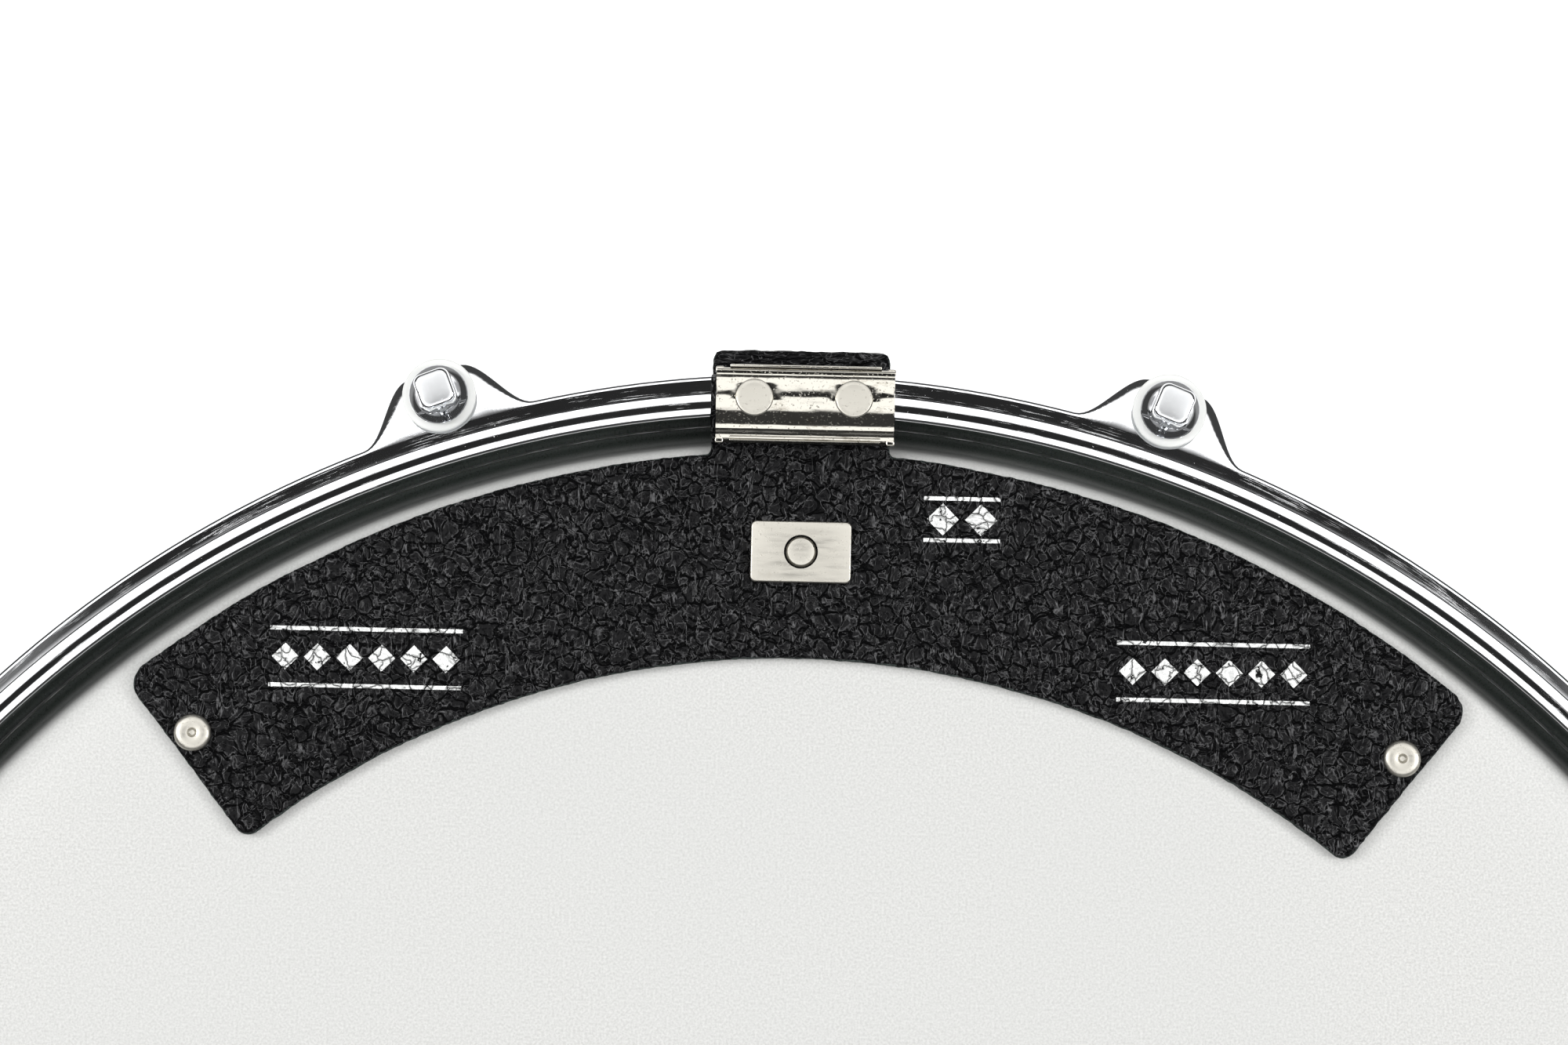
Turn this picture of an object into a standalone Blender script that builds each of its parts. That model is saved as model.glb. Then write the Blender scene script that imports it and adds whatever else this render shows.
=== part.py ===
"""A 14 by 5.5 inch snare drum with ten tension rods a side and a leather damper clipped on its batter rim.

Metres, +Z up. The drum stands on its resonant rim at z = 0, its axis is the Z axis, and the damper's clip
is at +Y. Angles round the drum are clockwise from +Y, seen from above. Both sides of the drum are made by
the same functions, in a frame whose origin is the middle of the shell: z is then the height above it.
"""

import math

import bmesh
import bpy
from mathutils import Matrix, Vector

MM = 0.001
GAP = 0.3 * MM  # what neighbouring solids keep between them
RING_STEPS = 40  # facets of every ring, so that neighbouring rings stay parallel
LUG_COUNT = 10
LUG_ANGLES = [math.radians(18 + 36 * k) for k in range(LUG_COUNT)]

# Heights, all measured from the middle of the shell
SHELL_HALF_HEIGHT = 139.7 / 2 * MM
FILM = 0.25 * MM
HEAD_TOP = SHELL_HALF_HEIGHT + GAP + FILM
FLANGE_TOP = HEAD_TOP - 3.0 * MM
RIM_RISE = 11.0 * MM
RIM_TOP = FLANGE_TOP + RIM_RISE
MIDDLE = RIM_TOP  # the height of the shell's middle above the floor

# Radii
SHELL_RADIUS = 177.0 * MM
SHELL_WALL = 6.0 * MM
BEARING_EDGE_RADIUS = 175.5 * MM
VENT_ANGLE = math.radians(108)
VENT_HOLE_RADIUS = 6.0 * MM
RIM_INNER = 181.0 * MM
SHEET = 2.3 * MM
RIM_OUTER = 184.7 * MM
SKIRT_OUTER = 189.0 * MM
SKIRT_DEPTH = 10.5 * MM
FLESH_INNER = 180.5 * MM
FLESH_OUTER = 185.4 * MM
FLESH_DEPTH = 9.5 * MM

# Tension rods, their ears on the hoops and the tube lugs between them
ROD_CIRCLE = 193.5 * MM
ROD_RADIUS = 2.75 * MM
ROD_LENGTH = 42.0 * MM
ROD_FLANGE_RADIUS = 4.85 * MM
ROD_FLANGE = 1.7 * MM
KEY_HEAD_WIDTH = 6.1 * MM
KEY_HEAD = 7.4 * MM
WASHER_RADIUS = 6.0 * MM
WASHER = 1.4 * MM
EAR_HOLE_RADIUS = 3.7 * MM
EAR_REACH = 10.0 * MM
EAR_FLAT = 3.0 * MM
EAR_HALF_WIDTH = 13.5 * MM
LUG_RADIUS = 5.5 * MM
LUG_HALF_LENGTH = 45.0 * MM
LUG_BORE_DEPTH = 22.0 * MM
POST_HEIGHT = 25.0 * MM
POST_RADIUS = 4.0 * MM
LUG_SCREW_RADIUS = 1.8 * MM

# Snares, strainer at -Y and butt at +Y: distances from the axis
STRAND_COUNT = 20
STRAND_RADIUS = 0.9 * MM
STRAND_PITCH = 2.2 * MM
STRAND_HALF_LENGTH = 168.0 * MM
END_PLATE_CENTRE = 165.0 * MM
END_PLATE_HALF = 7.0 * MM
STRAP_HALF_WIDTH = 8.5 * MM
STRAP = 0.5 * MM
STRAP_REACH = 190.75 * MM
GATE_HALF_WIDTH = 24.0 * MM
HARDWARE_BACK = SHELL_RADIUS + 0.4 * MM
CLAMP_FACE = STRAP_REACH - STRAP / 2 - GAP
CLAMP = 2.0 * MM
CLAMP_FRONT = STRAP_REACH + STRAP / 2 + GAP + CLAMP
CLAMP_TOP = -22.0 * MM
CLAMP_LOW = -36.0 * MM
CLAMP_SCREW_X = 10.4 * MM
CLAMP_SCREW_RADIUS = 1.1 * MM
BUTT_SCREW_HEIGHTS = (-40.0 * MM, -18.0 * MM)
STRAINER_BASE = 5.0 * MM
STRAINER_SCREW_HEIGHTS = (-38.0 * MM, 24.0 * MM)
LEVER_PIVOT_Z = 8.0 * MM
LEVER_REACH = 32.0 * MM
LEVER_STUD = 11.0 * MM
LEVER_STUD_RADIUS = 3.0 * MM
LEVER_SCREW_RADIUS = 1.5 * MM
CARRIAGE_LOW = -36.0 * MM
CARRIAGE_HIGH = -6.0 * MM
BASE_LOW = -42.0 * MM
BASE_HIGH = 30.0 * MM

# The damper: a leather leaf on the batter head, and a strap over the rim under a spring clip
LEATHER = 2.0 * MM
LEAF_OUTER_ARC = 171.0 * MM
LEAF_OUTER_CENTRE = 5.2 * MM
LEAF_INNER_ARC = 142.0 * MM
LEAF_HALF_ANGLE = math.radians(39)
STRAP_LEATHER_HALF_WIDTH = 14.3 * MM
CLIP_SHEET = 0.8 * MM
CLIP_RIVET_X = 8.0 * MM
END_RIVET_CIRCLE = 160.8 * MM
END_RIVET_ANGLE = math.radians(37.35)
STEEL_PLATE_Y = 159.1 * MM
FLIP_Y = 176.4 * MM
FLIP_Z = RIM_TOP
STRAP_LOW = HEAD_TOP + 3.5 * MM
LIP_LOW = HEAD_TOP + 4.5 * MM


# ---------------------------------------------------------------- materials and collections


def clear_scene():
    for obj in list(bpy.data.objects):
        bpy.data.objects.remove(obj)


def new_collection(name):
    made = bpy.data.collections.new(name)
    bpy.context.scene.collection.children.link(made)
    return made


def new_material(name, colour, roughness, metallic=0.0):
    made = bpy.data.materials.new(name)
    made.use_nodes = True
    shader = made.node_tree.nodes["Principled BSDF"]
    shader.inputs["Base Color"].default_value = (*colour, 1)
    shader.inputs["Roughness"].default_value = roughness
    shader.inputs["Metallic"].default_value = metallic
    made.diffuse_color = (*colour, 1)
    return made


# ---------------------------------------------------------------- shapes


def mesh_of(obj):
    """The evaluated mesh of a helper object, in its parent's frame, with its caps welded. The helper goes."""
    bpy.context.view_layer.update()
    graph = bpy.context.evaluated_depsgraph_get()
    mesh = bpy.data.meshes.new_from_object(obj.evaluated_get(graph))
    mesh.transform(obj.matrix_world)
    body = bmesh.new()
    body.from_mesh(mesh)
    bmesh.ops.remove_doubles(body, verts=body.verts, dist=1e-6)
    body.to_mesh(mesh)
    body.free()
    bpy.data.objects.remove(obj)
    return mesh


def helper(mesh, name="helper"):
    obj = bpy.data.objects.new(name, mesh)
    obj.hide_render = True
    obj.display_type = "WIRE"
    CUTTERS.objects.link(obj)
    return obj


def turned(profile, steps=RING_STEPS):
    """A turned solid round Z. A profile runs down its outer side; a closed one makes a ring."""
    closed = profile[0][0] > 1e-6
    mesh = bpy.data.meshes.new("profile")
    count = len(profile)
    edges = [(k, k + 1) for k in range(count - 1)]
    if closed:
        edges.append((count - 1, 0))
    mesh.from_pydata([(r, 0, z) for r, z in profile], edges, [])
    obj = helper(mesh)
    screw = obj.modifiers.new("turn", "SCREW")
    screw.steps = screw.render_steps = steps
    screw.use_merge_vertices = True
    screw.merge_threshold = 1e-6
    screw.use_smooth_shade = False
    obj.rotation_euler.z = math.pi / 2
    return mesh_of(obj)


def cylinder(radius, depth, segments, matrix=None, radius_top=None):
    """A round bar along Z from 0 to depth, then placed by the matrix."""
    mesh = bpy.data.meshes.new("cylinder")
    body = bmesh.new()
    top = radius if radius_top is None else radius_top
    bmesh.ops.create_cone(body, cap_ends=True, segments=segments, radius1=radius, radius2=top, depth=depth)
    bmesh.ops.translate(body, verts=body.verts, vec=(0, 0, depth / 2))
    body.transform(matrix or Matrix.Identity(4))
    body.to_mesh(mesh)
    body.free()
    return mesh


def box(low, high, bevel=0.0):
    """A block between two corners, with its edges chamfered by bevel."""
    low, high = Vector(low), Vector(high)
    mesh = bpy.data.meshes.new("box")
    body = bmesh.new()
    bmesh.ops.create_cube(body, size=1)
    bmesh.ops.scale(body, verts=body.verts, vec=high - low)
    bmesh.ops.translate(body, verts=body.verts, vec=(low + high) / 2)
    if bevel:
        bmesh.ops.bevel(body, geom=body.edges[:], offset=bevel, segments=1, affect="EDGES")
    body.to_mesh(mesh)
    body.free()
    return mesh


def plate(outline, low, high):
    """A flat outline in XY, made as thick as from low to high along Z."""
    curve = bpy.data.curves.new("outline", "CURVE")
    curve.dimensions = "2D"
    curve.fill_mode = "BOTH"
    curve.extrude = (high - low) / 2
    spline = curve.splines.new("POLY")
    spline.points.add(len(outline) - 1)
    for point, (x, y) in zip(spline.points, outline):
        point.co = (x, y, 0, 1)
    spline.use_cyclic_u = True
    obj = bpy.data.objects.new("outline", curve)
    CUTTERS.objects.link(obj)
    obj.location.z = (low + high) / 2
    return mesh_of(obj)


def cross_section(outline, half_width, matrix=None):
    """An outline in YZ, extruded along X to half_width either side."""
    mesh = plate(outline, -half_width, half_width)
    mesh.transform(Matrix(((0, 0, 1, 0), (1, 0, 0, 0), (0, 1, 0, 0), (0, 0, 0, 1))))
    if matrix:
        mesh.transform(matrix)
    return mesh


def ribbon(path, half):
    """The outline of a bent strip of thickness 2 * half that follows a path of (a, b) points."""
    left, right = [], []
    for k, (a, b) in enumerate(path):
        before, after = Vector(path[max(k - 1, 0)]), Vector(path[min(k + 1, len(path) - 1)])
        here = Vector((a, b))
        ways = [w.normalized() for w in (here - before, after - here) if w.length > 1e-9]
        along = sum(ways, Vector((0, 0))).normalized()
        stretch = half / max(along.dot(ways[0]), 0.5)
        side = Vector((-along.y, along.x)) * stretch
        left.append(tuple(here + side))
        right.append(tuple(here - side))
    return left + right[::-1]


def joined(meshes):
    """Several meshes as one, without a union: for groups of separate solids."""
    body = bmesh.new()
    for mesh in meshes:
        body.from_mesh(mesh)
        bpy.data.meshes.remove(mesh)
    made = bpy.data.meshes.new("joined")
    body.to_mesh(made)
    body.free()
    return made


def boolean(mesh, other, operation):
    base, tool = helper(mesh), helper(other)
    step = base.modifiers.new("step", "BOOLEAN")
    step.operation = operation
    step.object = tool
    step.solver = "EXACT"
    made = mesh_of(base)
    bpy.data.objects.remove(tool)
    return made


def united(mesh, *others):
    for other in others:
        mesh = boolean(mesh, other, "UNION")
    return mesh


def cut(mesh, *others):
    for other in others:
        mesh = boolean(mesh, other, "DIFFERENCE")
    return mesh


def part(name, mesh, material, parent=None, location=(0, 0, 0), rotation=(0, 0, 0)):
    """A named piece of the drum."""
    obj = bpy.data.objects.new(name, mesh)
    DRUM.objects.link(obj)
    if not mesh.materials:
        mesh.materials.append(material)
    mesh.shade_smooth()
    mesh.set_sharp_from_angle(angle=math.radians(30))
    obj.parent = parent or MID_FRAME
    obj.location = location
    obj.rotation_euler = rotation
    return obj


def frame_empty(name, rotation=(0, 0, 0)):
    """A frame at the middle of the shell."""
    empty = bpy.data.objects.new(name, None)
    DRUM.objects.link(empty)
    empty.location.z = MIDDLE
    empty.rotation_euler = rotation
    return empty


def around(angle):
    """Turns a shape made at +Y clockwise round the drum."""
    return Matrix.Rotation(-angle, 4, "Z")


def outward(x, y, z, direction=1):
    """A matrix that lays a bar made along +Z along +Y (or -Y), starting at (x, y, z)."""
    return Matrix.Translation((x, y, z)) @ Matrix.Rotation(-direction * math.pi / 2, 4, "X")


# ---------------------------------------------------------------- shell


def make_shell():
    """Six millimetres of ply with a bearing edge at both ends, drilled for the lugs, vent and hardware."""
    inner = SHELL_RADIUS - SHELL_WALL
    edge_drop = BEARING_EDGE_RADIUS - inner
    round_over = SHELL_RADIUS - BEARING_EDGE_RADIUS
    half = SHELL_HALF_HEIGHT
    mesh = turned([
        (BEARING_EDGE_RADIUS, half),
        (SHELL_RADIUS, half - round_over),
        (SHELL_RADIUS, -half + round_over),
        (BEARING_EDGE_RADIUS, -half),
        (inner, -half + edge_drop),
        (inner, half - edge_drop),
    ])
    drill_length = 3 * SHELL_WALL
    drill_start = SHELL_RADIUS - 2 * SHELL_WALL
    drills = []
    for angle in LUG_ANGLES:
        for z in (-POST_HEIGHT, POST_HEIGHT):
            place = around(angle) @ outward(0, drill_start, z)
            drills.append(cylinder(LUG_SCREW_RADIUS + 2 * GAP, drill_length, 6, place))
    for sign, heights in ((-1, STRAINER_SCREW_HEIGHTS), (1, BUTT_SCREW_HEIGHTS)):
        for z in heights:
            place = outward(0, sign * drill_start, z, sign)
            drills.append(cylinder(LUG_SCREW_RADIUS + 2 * GAP, drill_length, 6, place))
    vent = around(VENT_ANGLE) @ outward(0, drill_start, 0)
    drills.append(cylinder(VENT_HOLE_RADIUS, drill_length, 12, vent))
    part("shell", cut(mesh, joined(drills)), PLY)

    flange = VENT_HOLE_RADIUS + 2.5 * MM
    tube = VENT_HOLE_RADIUS - GAP
    bore = tube - 1.0 * MM
    reach = SHELL_WALL + 2 * GAP
    lip = 1.2 * MM
    eyelet = turned([
        (tube, lip + reach), (tube, lip), (flange, lip), (flange, 0.4 * MM), (tube, 0), (bore, 0),
        (bore, lip + reach),
    ], 12)
    eyelet.transform(around(VENT_ANGLE) @ outward(0, SHELL_RADIUS + GAP + lip, 0, -1))
    part("vent_grommet", eyelet, CHROME)


def mount_screw(x, z, sign, reach):
    """A pan-head screw from inside the shell, on the +Y or -Y side, whose shank ends at y = sign * reach."""
    head = 2.2 * MM
    start = (SHELL_RADIUS - SHELL_WALL) * math.cos(math.pi / RING_STEPS) - GAP
    shank = cylinder(LUG_SCREW_RADIUS, reach - start + MM, 6, outward(x, sign * (start - MM), z, sign))
    pan = cylinder(4.0 * MM, head, 6, outward(x, sign * (start - head), z, sign))
    return united(pan, shank)


def make_lugs():
    """Tube lugs: one turned tube on two posts, bored at both ends for the rods, with its two screws."""
    post_start = HARDWARE_BACK - ROD_CIRCLE
    mesh = cylinder(LUG_RADIUS, 2 * LUG_HALF_LENGTH, 12, Matrix.Translation((0, 0, -LUG_HALF_LENGTH)))
    bores = [
        cylinder(ROD_RADIUS + 1.5 * GAP, LUG_BORE_DEPTH + MM, 8, Matrix.Translation((0, 0, z)))
        for z in (LUG_HALF_LENGTH - LUG_BORE_DEPTH, -LUG_HALF_LENGTH - MM)
    ]
    for z in (-POST_HEIGHT, POST_HEIGHT):
        post = cylinder(POST_RADIUS, -post_start, 8, outward(0, post_start, z))
        screw = mount_screw(0, z, 1, HARDWARE_BACK + 2 * MM)
        screw.transform(Matrix.Translation((0, -ROD_CIRCLE, 0)))
        mesh = united(mesh, post, screw)
    mesh = cut(mesh, joined(bores))
    for number, angle in enumerate(LUG_ANGLES, 1):
        place = (ROD_CIRCLE * math.sin(angle), ROD_CIRCLE * math.cos(angle), 0)
        part(f"lug_{number:02d}", mesh, CHROME, location=place, rotation=(0, 0, -angle))


# ---------------------------------------------------------------- heads, hoops and rods


def ear_outline(base, reach):
    """The hoop's outline: a circle of radius base that swells by reach at each rod, with bell-shaped ears."""
    points = []
    sector = 2 * math.pi / LUG_COUNT
    steps = 6
    for angle in LUG_ANGLES:
        for k in range(steps + 1):
            along = EAR_HALF_WIDTH * (2 * k / steps - 1)
            fall = max(abs(along) - EAR_FLAT, 0) / (EAR_HALF_WIDTH - EAR_FLAT)
            radius = base + reach * (1 + math.cos(math.pi * fall)) / 2
            points.append((radius, angle + along / base))
        ear_half_angle = EAR_HALF_WIDTH / base
        free = sector - 2 * ear_half_angle
        points += [(base, angle + ear_half_angle + free * k / 3) for k in (1, 2)]
    return [(r * math.sin(a), r * math.cos(a)) for r, a in points][::-1]


def make_hoop(name, parent, gates):
    """A triple-flanged hoop: a skirt, a flange with ears over the flesh hoop, a wall, and a rim."""
    flange_low = FLANGE_TOP - SHEET
    body = plate(ear_outline(SKIRT_OUTER, EAR_REACH), FLANGE_TOP - SKIRT_DEPTH, FLANGE_TOP)
    inside = ear_outline(SKIRT_OUTER - SHEET, EAR_REACH)
    hollow = plate(inside, FLANGE_TOP - 2 * SKIRT_DEPTH, flange_low)
    middle = Matrix.Translation((0, 0, FLANGE_TOP - 20 * MM))
    opening = cylinder(RIM_INNER + 0.6 * MM, 40 * MM, RING_STEPS, middle)
    wall_low = flange_low + 0.6 * MM
    wall_outer = RIM_INNER + SHEET
    wall = turned([
        (RIM_OUTER, RIM_TOP),
        (RIM_OUTER, RIM_TOP - SHEET),
        (wall_outer, RIM_TOP - SHEET - 0.6 * MM),
        (wall_outer, wall_low),
        (RIM_INNER, wall_low),
        (RIM_INNER, RIM_TOP),
    ])
    holes = []
    for angle in LUG_ANGLES:
        place = around(angle) @ Matrix.Translation((0, ROD_CIRCLE, flange_low - 5 * MM))
        holes.append(cylinder(EAR_HOLE_RADIUS, 10 * MM, 6, place))
    mesh = united(cut(body, hollow, opening, joined(holes)), wall)
    if gates:
        gate_depth = RIM_RISE + 3.5 * MM
        gate = [
            box((-GATE_HALF_WIDTH, sign * 170 * MM if sign > 0 else -200 * MM, RIM_TOP - gate_depth),
                (GATE_HALF_WIDTH, 200 * MM if sign > 0 else -170 * MM, RIM_TOP + MM))
            for sign in (-1, 1)
        ]
        mesh = cut(mesh, joined(gate))
    part(name, mesh, CHROME, parent)


def make_head(side, parent):
    """A film drawn over the bearing edge, with its collar running down into the flesh hoop."""
    collar = [(BEARING_EDGE_RADIUS + 1.4 * MM, 0), (FLESH_INNER - 0.9 * MM, 8.0 * MM)]
    outer = [(0, HEAD_TOP)] + [(r, HEAD_TOP - drop) for r, drop in collar]
    inner = [(r - FILM * (drop > 0), HEAD_TOP - FILM - drop) for r, drop in collar][::-1]
    inner.append((0, HEAD_TOP - FILM))
    part(f"{side}_head", turned(outer + inner), FILM_WHITE, parent)
    top = FLANGE_TOP - SHEET - GAP
    ring = turned([(FLESH_OUTER, top), (FLESH_OUTER, top - FLESH_DEPTH), (FLESH_INNER, top - FLESH_DEPTH),
                   (FLESH_INNER, top)])
    part(f"{side}_flesh_hoop", ring, ALUMINIUM, parent)


def make_rods(side, parent):
    """Square-headed tension rods, each with its washer. Their origins are at the tops of the ears."""
    washer_top = WASHER + GAP
    flange_high = washer_top + ROD_FLANGE
    turned_part = turned([
        (0, flange_high),
        (ROD_FLANGE_RADIUS, flange_high),
        (ROD_FLANGE_RADIUS, washer_top),
        (WASHER_RADIUS, washer_top),
        (WASHER_RADIUS, GAP),
        (ROD_RADIUS, GAP),
        (ROD_RADIUS, GAP - ROD_LENGTH),
        (0, GAP - ROD_LENGTH),
    ], 8)
    half = KEY_HEAD_WIDTH / 2
    key_head = box((-half, -half, flange_high - 0.5 * MM), (half, half, flange_high + KEY_HEAD))
    mesh = united(turned_part, key_head)
    for number, angle in enumerate(LUG_ANGLES, 1):
        place = (ROD_CIRCLE * math.sin(angle), ROD_CIRCLE * math.cos(angle), FLANGE_TOP)
        part(f"{side}_rod_{number:02d}", mesh, CHROME, parent, place, (0, 0, -angle))


# ---------------------------------------------------------------- snares and their hardware


def make_snares():
    """Twenty strands soldered to two end plates, under the resonant head, and a strap under each plate."""
    strand_z = -HEAD_TOP - GAP - STRAND_RADIUS
    plate_top = strand_z - GAP
    plate_low = strand_z - 1.6 * MM
    half_width = (STRAND_COUNT / 2 + 0.5) * STRAND_PITCH
    strands = []
    for k in range(STRAND_COUNT):
        x = (k - (STRAND_COUNT - 1) / 2) * STRAND_PITCH
        place = outward(x, -STRAND_HALF_LENGTH, strand_z)
        strands.append(cylinder(STRAND_RADIUS, 2 * STRAND_HALF_LENGTH, 4, place))
    near, far = END_PLATE_CENTRE - END_PLATE_HALF, END_PLATE_CENTRE + END_PLATE_HALF
    plates = [block((-half_width, near, plate_low), (half_width, far, plate_top), sign) for sign in (-1, 1)]
    part("snare_wires", united(joined(strands), joined(plates)), STEEL)

    strap_z = plate_low - GAP - STRAP / 2
    bend = 4 * MM
    turns = [math.pi / 2 * k / 4 for k in range(5)]
    path = [(END_PLATE_CENTRE - 6 * MM, strap_z)]
    path += [(STRAP_REACH - bend + bend * math.sin(t), strap_z + bend - bend * math.cos(t)) for t in turns]
    path += [(STRAP_REACH, CLAMP_TOP - 2 * MM)]
    outline = ribbon(path, STRAP / 2)
    facing_out = Matrix.Rotation(math.pi, 4, "Z")
    part("butt_strap", cross_section(outline, STRAP_HALF_WIDTH), STRAP_FILM)
    part("throw_off_strap", cross_section(outline, STRAP_HALF_WIDTH, facing_out), STRAP_FILM)


def block(low, high, sign, bevel=0.0):
    """A block whose y runs outward from the axis, on the +Y or the -Y side."""
    (x0, y0, z0), (x1, y1, z1) = low, high
    if sign < 0:
        y0, y1 = -y1, -y0
    return box((x0, y0, z0), (x1, y1, z1), bevel)


def strap_clamp(sign, half_width):
    """A bar over the strap, with the two drum-key screws that pull it in."""
    low, high = (-half_width, CLAMP_FRONT - CLAMP, CLAMP_LOW), (half_width, CLAMP_FRONT, CLAMP_TOP)
    mesh = block(low, high, sign, 0.4 * MM)
    middle = (CLAMP_LOW + CLAMP_TOP) / 2
    for x in (-CLAMP_SCREW_X, CLAMP_SCREW_X):
        start = sign * (CLAMP_FRONT - 7 * MM)
        shank = cylinder(CLAMP_SCREW_RADIUS, 8 * MM, 8, outward(x, start, middle, sign))
        head = cylinder(1.9 * MM, 2.9 * MM, 8, outward(x, sign * (CLAMP_FRONT - 0.5 * MM), middle, sign))
        mesh = united(mesh, shank, head)
    return mesh


def clamp_holes(sign):
    """What strap_clamp's screws turn in."""
    start = sign * (CLAMP_FRONT - 8 * MM)
    middle = (CLAMP_LOW + CLAMP_TOP) / 2
    return joined([
        cylinder(CLAMP_SCREW_RADIUS + GAP, 12 * MM, 8, outward(x, start, middle, sign))
        for x in (-CLAMP_SCREW_X, CLAMP_SCREW_X)
    ])


def make_strainer():
    """The throw-off: a base with rails, a carriage between them, a side-throw lever and a knob."""
    front = HARDWARE_BACK + STRAINER_BASE
    half = 17 * MM
    rail_inner = 13 * MM
    base = block((-half, HARDWARE_BACK, BASE_LOW), (half, front, BASE_HIGH), -1, 1.0 * MM)
    rail_low, rail_high = CARRIAGE_LOW - 4.5 * MM, CARRIAGE_HIGH + 2 * MM
    for x0, x1 in ((-half + GAP, -rail_inner), (rail_inner, half - GAP)):
        rail = block((x0, front - MM, rail_low), (x1, front + 6.6 * MM, rail_high), -1, 0.6 * MM)
        base = united(base, rail)
    stud_place = outward(0, MM - front, LEVER_PIVOT_Z, -1)
    stud = cylinder(LEVER_STUD_RADIUS, LEVER_STUD + MM, 12, stud_place)
    hole_place = outward(0, -front - 4 * MM, LEVER_PIVOT_Z, -1)
    stud_hole = cylinder(LEVER_SCREW_RADIUS + GAP, LEVER_STUD, 8, hole_place)
    screws = [mount_screw(0, z, -1, HARDWARE_BACK + MM) for z in STRAINER_SCREW_HEIGHTS]
    part("strainer_base", cut(united(base, stud, *screws), stud_hole), CHROME)

    side = rail_inner - 0.4 * MM
    carriage = block((-side, front + GAP, CARRIAGE_LOW), (side, CLAMP_FACE, CARRIAGE_HIGH), -1, 0.6 * MM)
    part("strainer_carriage", cut(carriage, clamp_holes(-1)), CHROME)
    part("throw_off_clamp", strap_clamp(-1, side), CHROME)

    back = front + GAP
    hub_depth = 195.6 * MM - back
    arm_back = hub_depth - 3.4 * MM
    hub = cylinder(8.0 * MM, hub_depth, 16, outward(0, 0, 0, -1))
    arm = box((-4.5 * MM, -hub_depth + GAP, 0), (4.5 * MM, -arm_back, LEVER_REACH), 0.8 * MM)
    grip = cylinder(6.0 * MM, hub_depth - arm_back, 14, outward(0, -arm_back, LEVER_REACH, -1))
    bore = cylinder(LEVER_STUD_RADIUS + GAP, hub_depth + 2 * MM, 12, outward(0, MM, 0, -1))
    part("strainer_lever", cut(united(hub, arm, grip), bore), CHROME, location=(0, -back, LEVER_PIVOT_Z))

    screw_back = back + hub_depth + GAP
    head = cylinder(5.0 * MM, 1.6 * MM, 12, outward(0, -screw_back, LEVER_PIVOT_Z, -1), 4.4 * MM)
    shank_start = front + 5 * MM
    shank = cylinder(
        LEVER_SCREW_RADIUS, screw_back - shank_start + MM / 2, 8, outward(0, -shank_start, LEVER_PIVOT_Z, -1)
    )
    part("lever_screw", united(head, shank), STEEL)

    radius, height, edge = 6.4 * MM, 11 * MM, 0.9 * MM
    knob = turned([
        (0, height), (radius - edge, height), (radius, height - edge),
        (radius, edge), (radius - edge, 0), (0, 0),
    ], 16)
    part("tension_knob", knob, CHROME, location=(0, -185.2 * MM, BASE_HIGH + 2 * MM))


def make_butt():
    """The fixed end of the snares: a block on the shell and a clamp for the strap."""
    side = 12.6 * MM
    low, high = (-side, HARDWARE_BACK, CLAMP_LOW - 8 * MM), (side, CLAMP_FACE, CLAMP_TOP + 8 * MM)
    body = block(low, high, 1, 1.2 * MM)
    screws = [mount_screw(0, z, 1, HARDWARE_BACK + MM) for z in BUTT_SCREW_HEIGHTS]
    part("butt_plate", cut(united(body, *screws), clamp_holes(1)), CHROME)
    part("butt_clamp", strap_clamp(1, side), CHROME)


# ---------------------------------------------------------------- damper


def leaf_outline():
    """A curved leaf with radial ends and rounded corners."""
    arc_steps = 20
    inset = math.radians(1.3)

    def arc(radius, centre, low, high):
        for k in range(arc_steps + 1):
            angle = low + (high - low) * k / arc_steps
            yield radius * math.sin(angle), centre + radius * math.cos(angle)

    wide = LEAF_HALF_ANGLE * 0.985
    outer = list(arc(LEAF_OUTER_ARC, LEAF_OUTER_CENTRE, -wide, wide))
    narrow = LEAF_HALF_ANGLE - inset
    inner = list(arc(LEAF_INNER_ARC, 0, narrow, -narrow))

    def end_point(radius, sign):
        return sign * radius * math.sin(LEAF_HALF_ANGLE), radius * math.cos(LEAF_HALF_ANGLE)

    ends = {sign: [end_point(171.5 * MM, sign), end_point(145.5 * MM, sign)] for sign in (-1, 1)}
    return outer + ends[1] + inner + ends[-1][::-1]


def rivet(radius, cap, shank_radius, shank):
    """A domed rivet whose cap stands on z = 0 with its shank below."""
    return turned([(0, cap), (radius * 0.8, cap), (radius, 0), (shank_radius, 0), (shank_radius, -shank),
                   (0, -shank)], 10)


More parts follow.
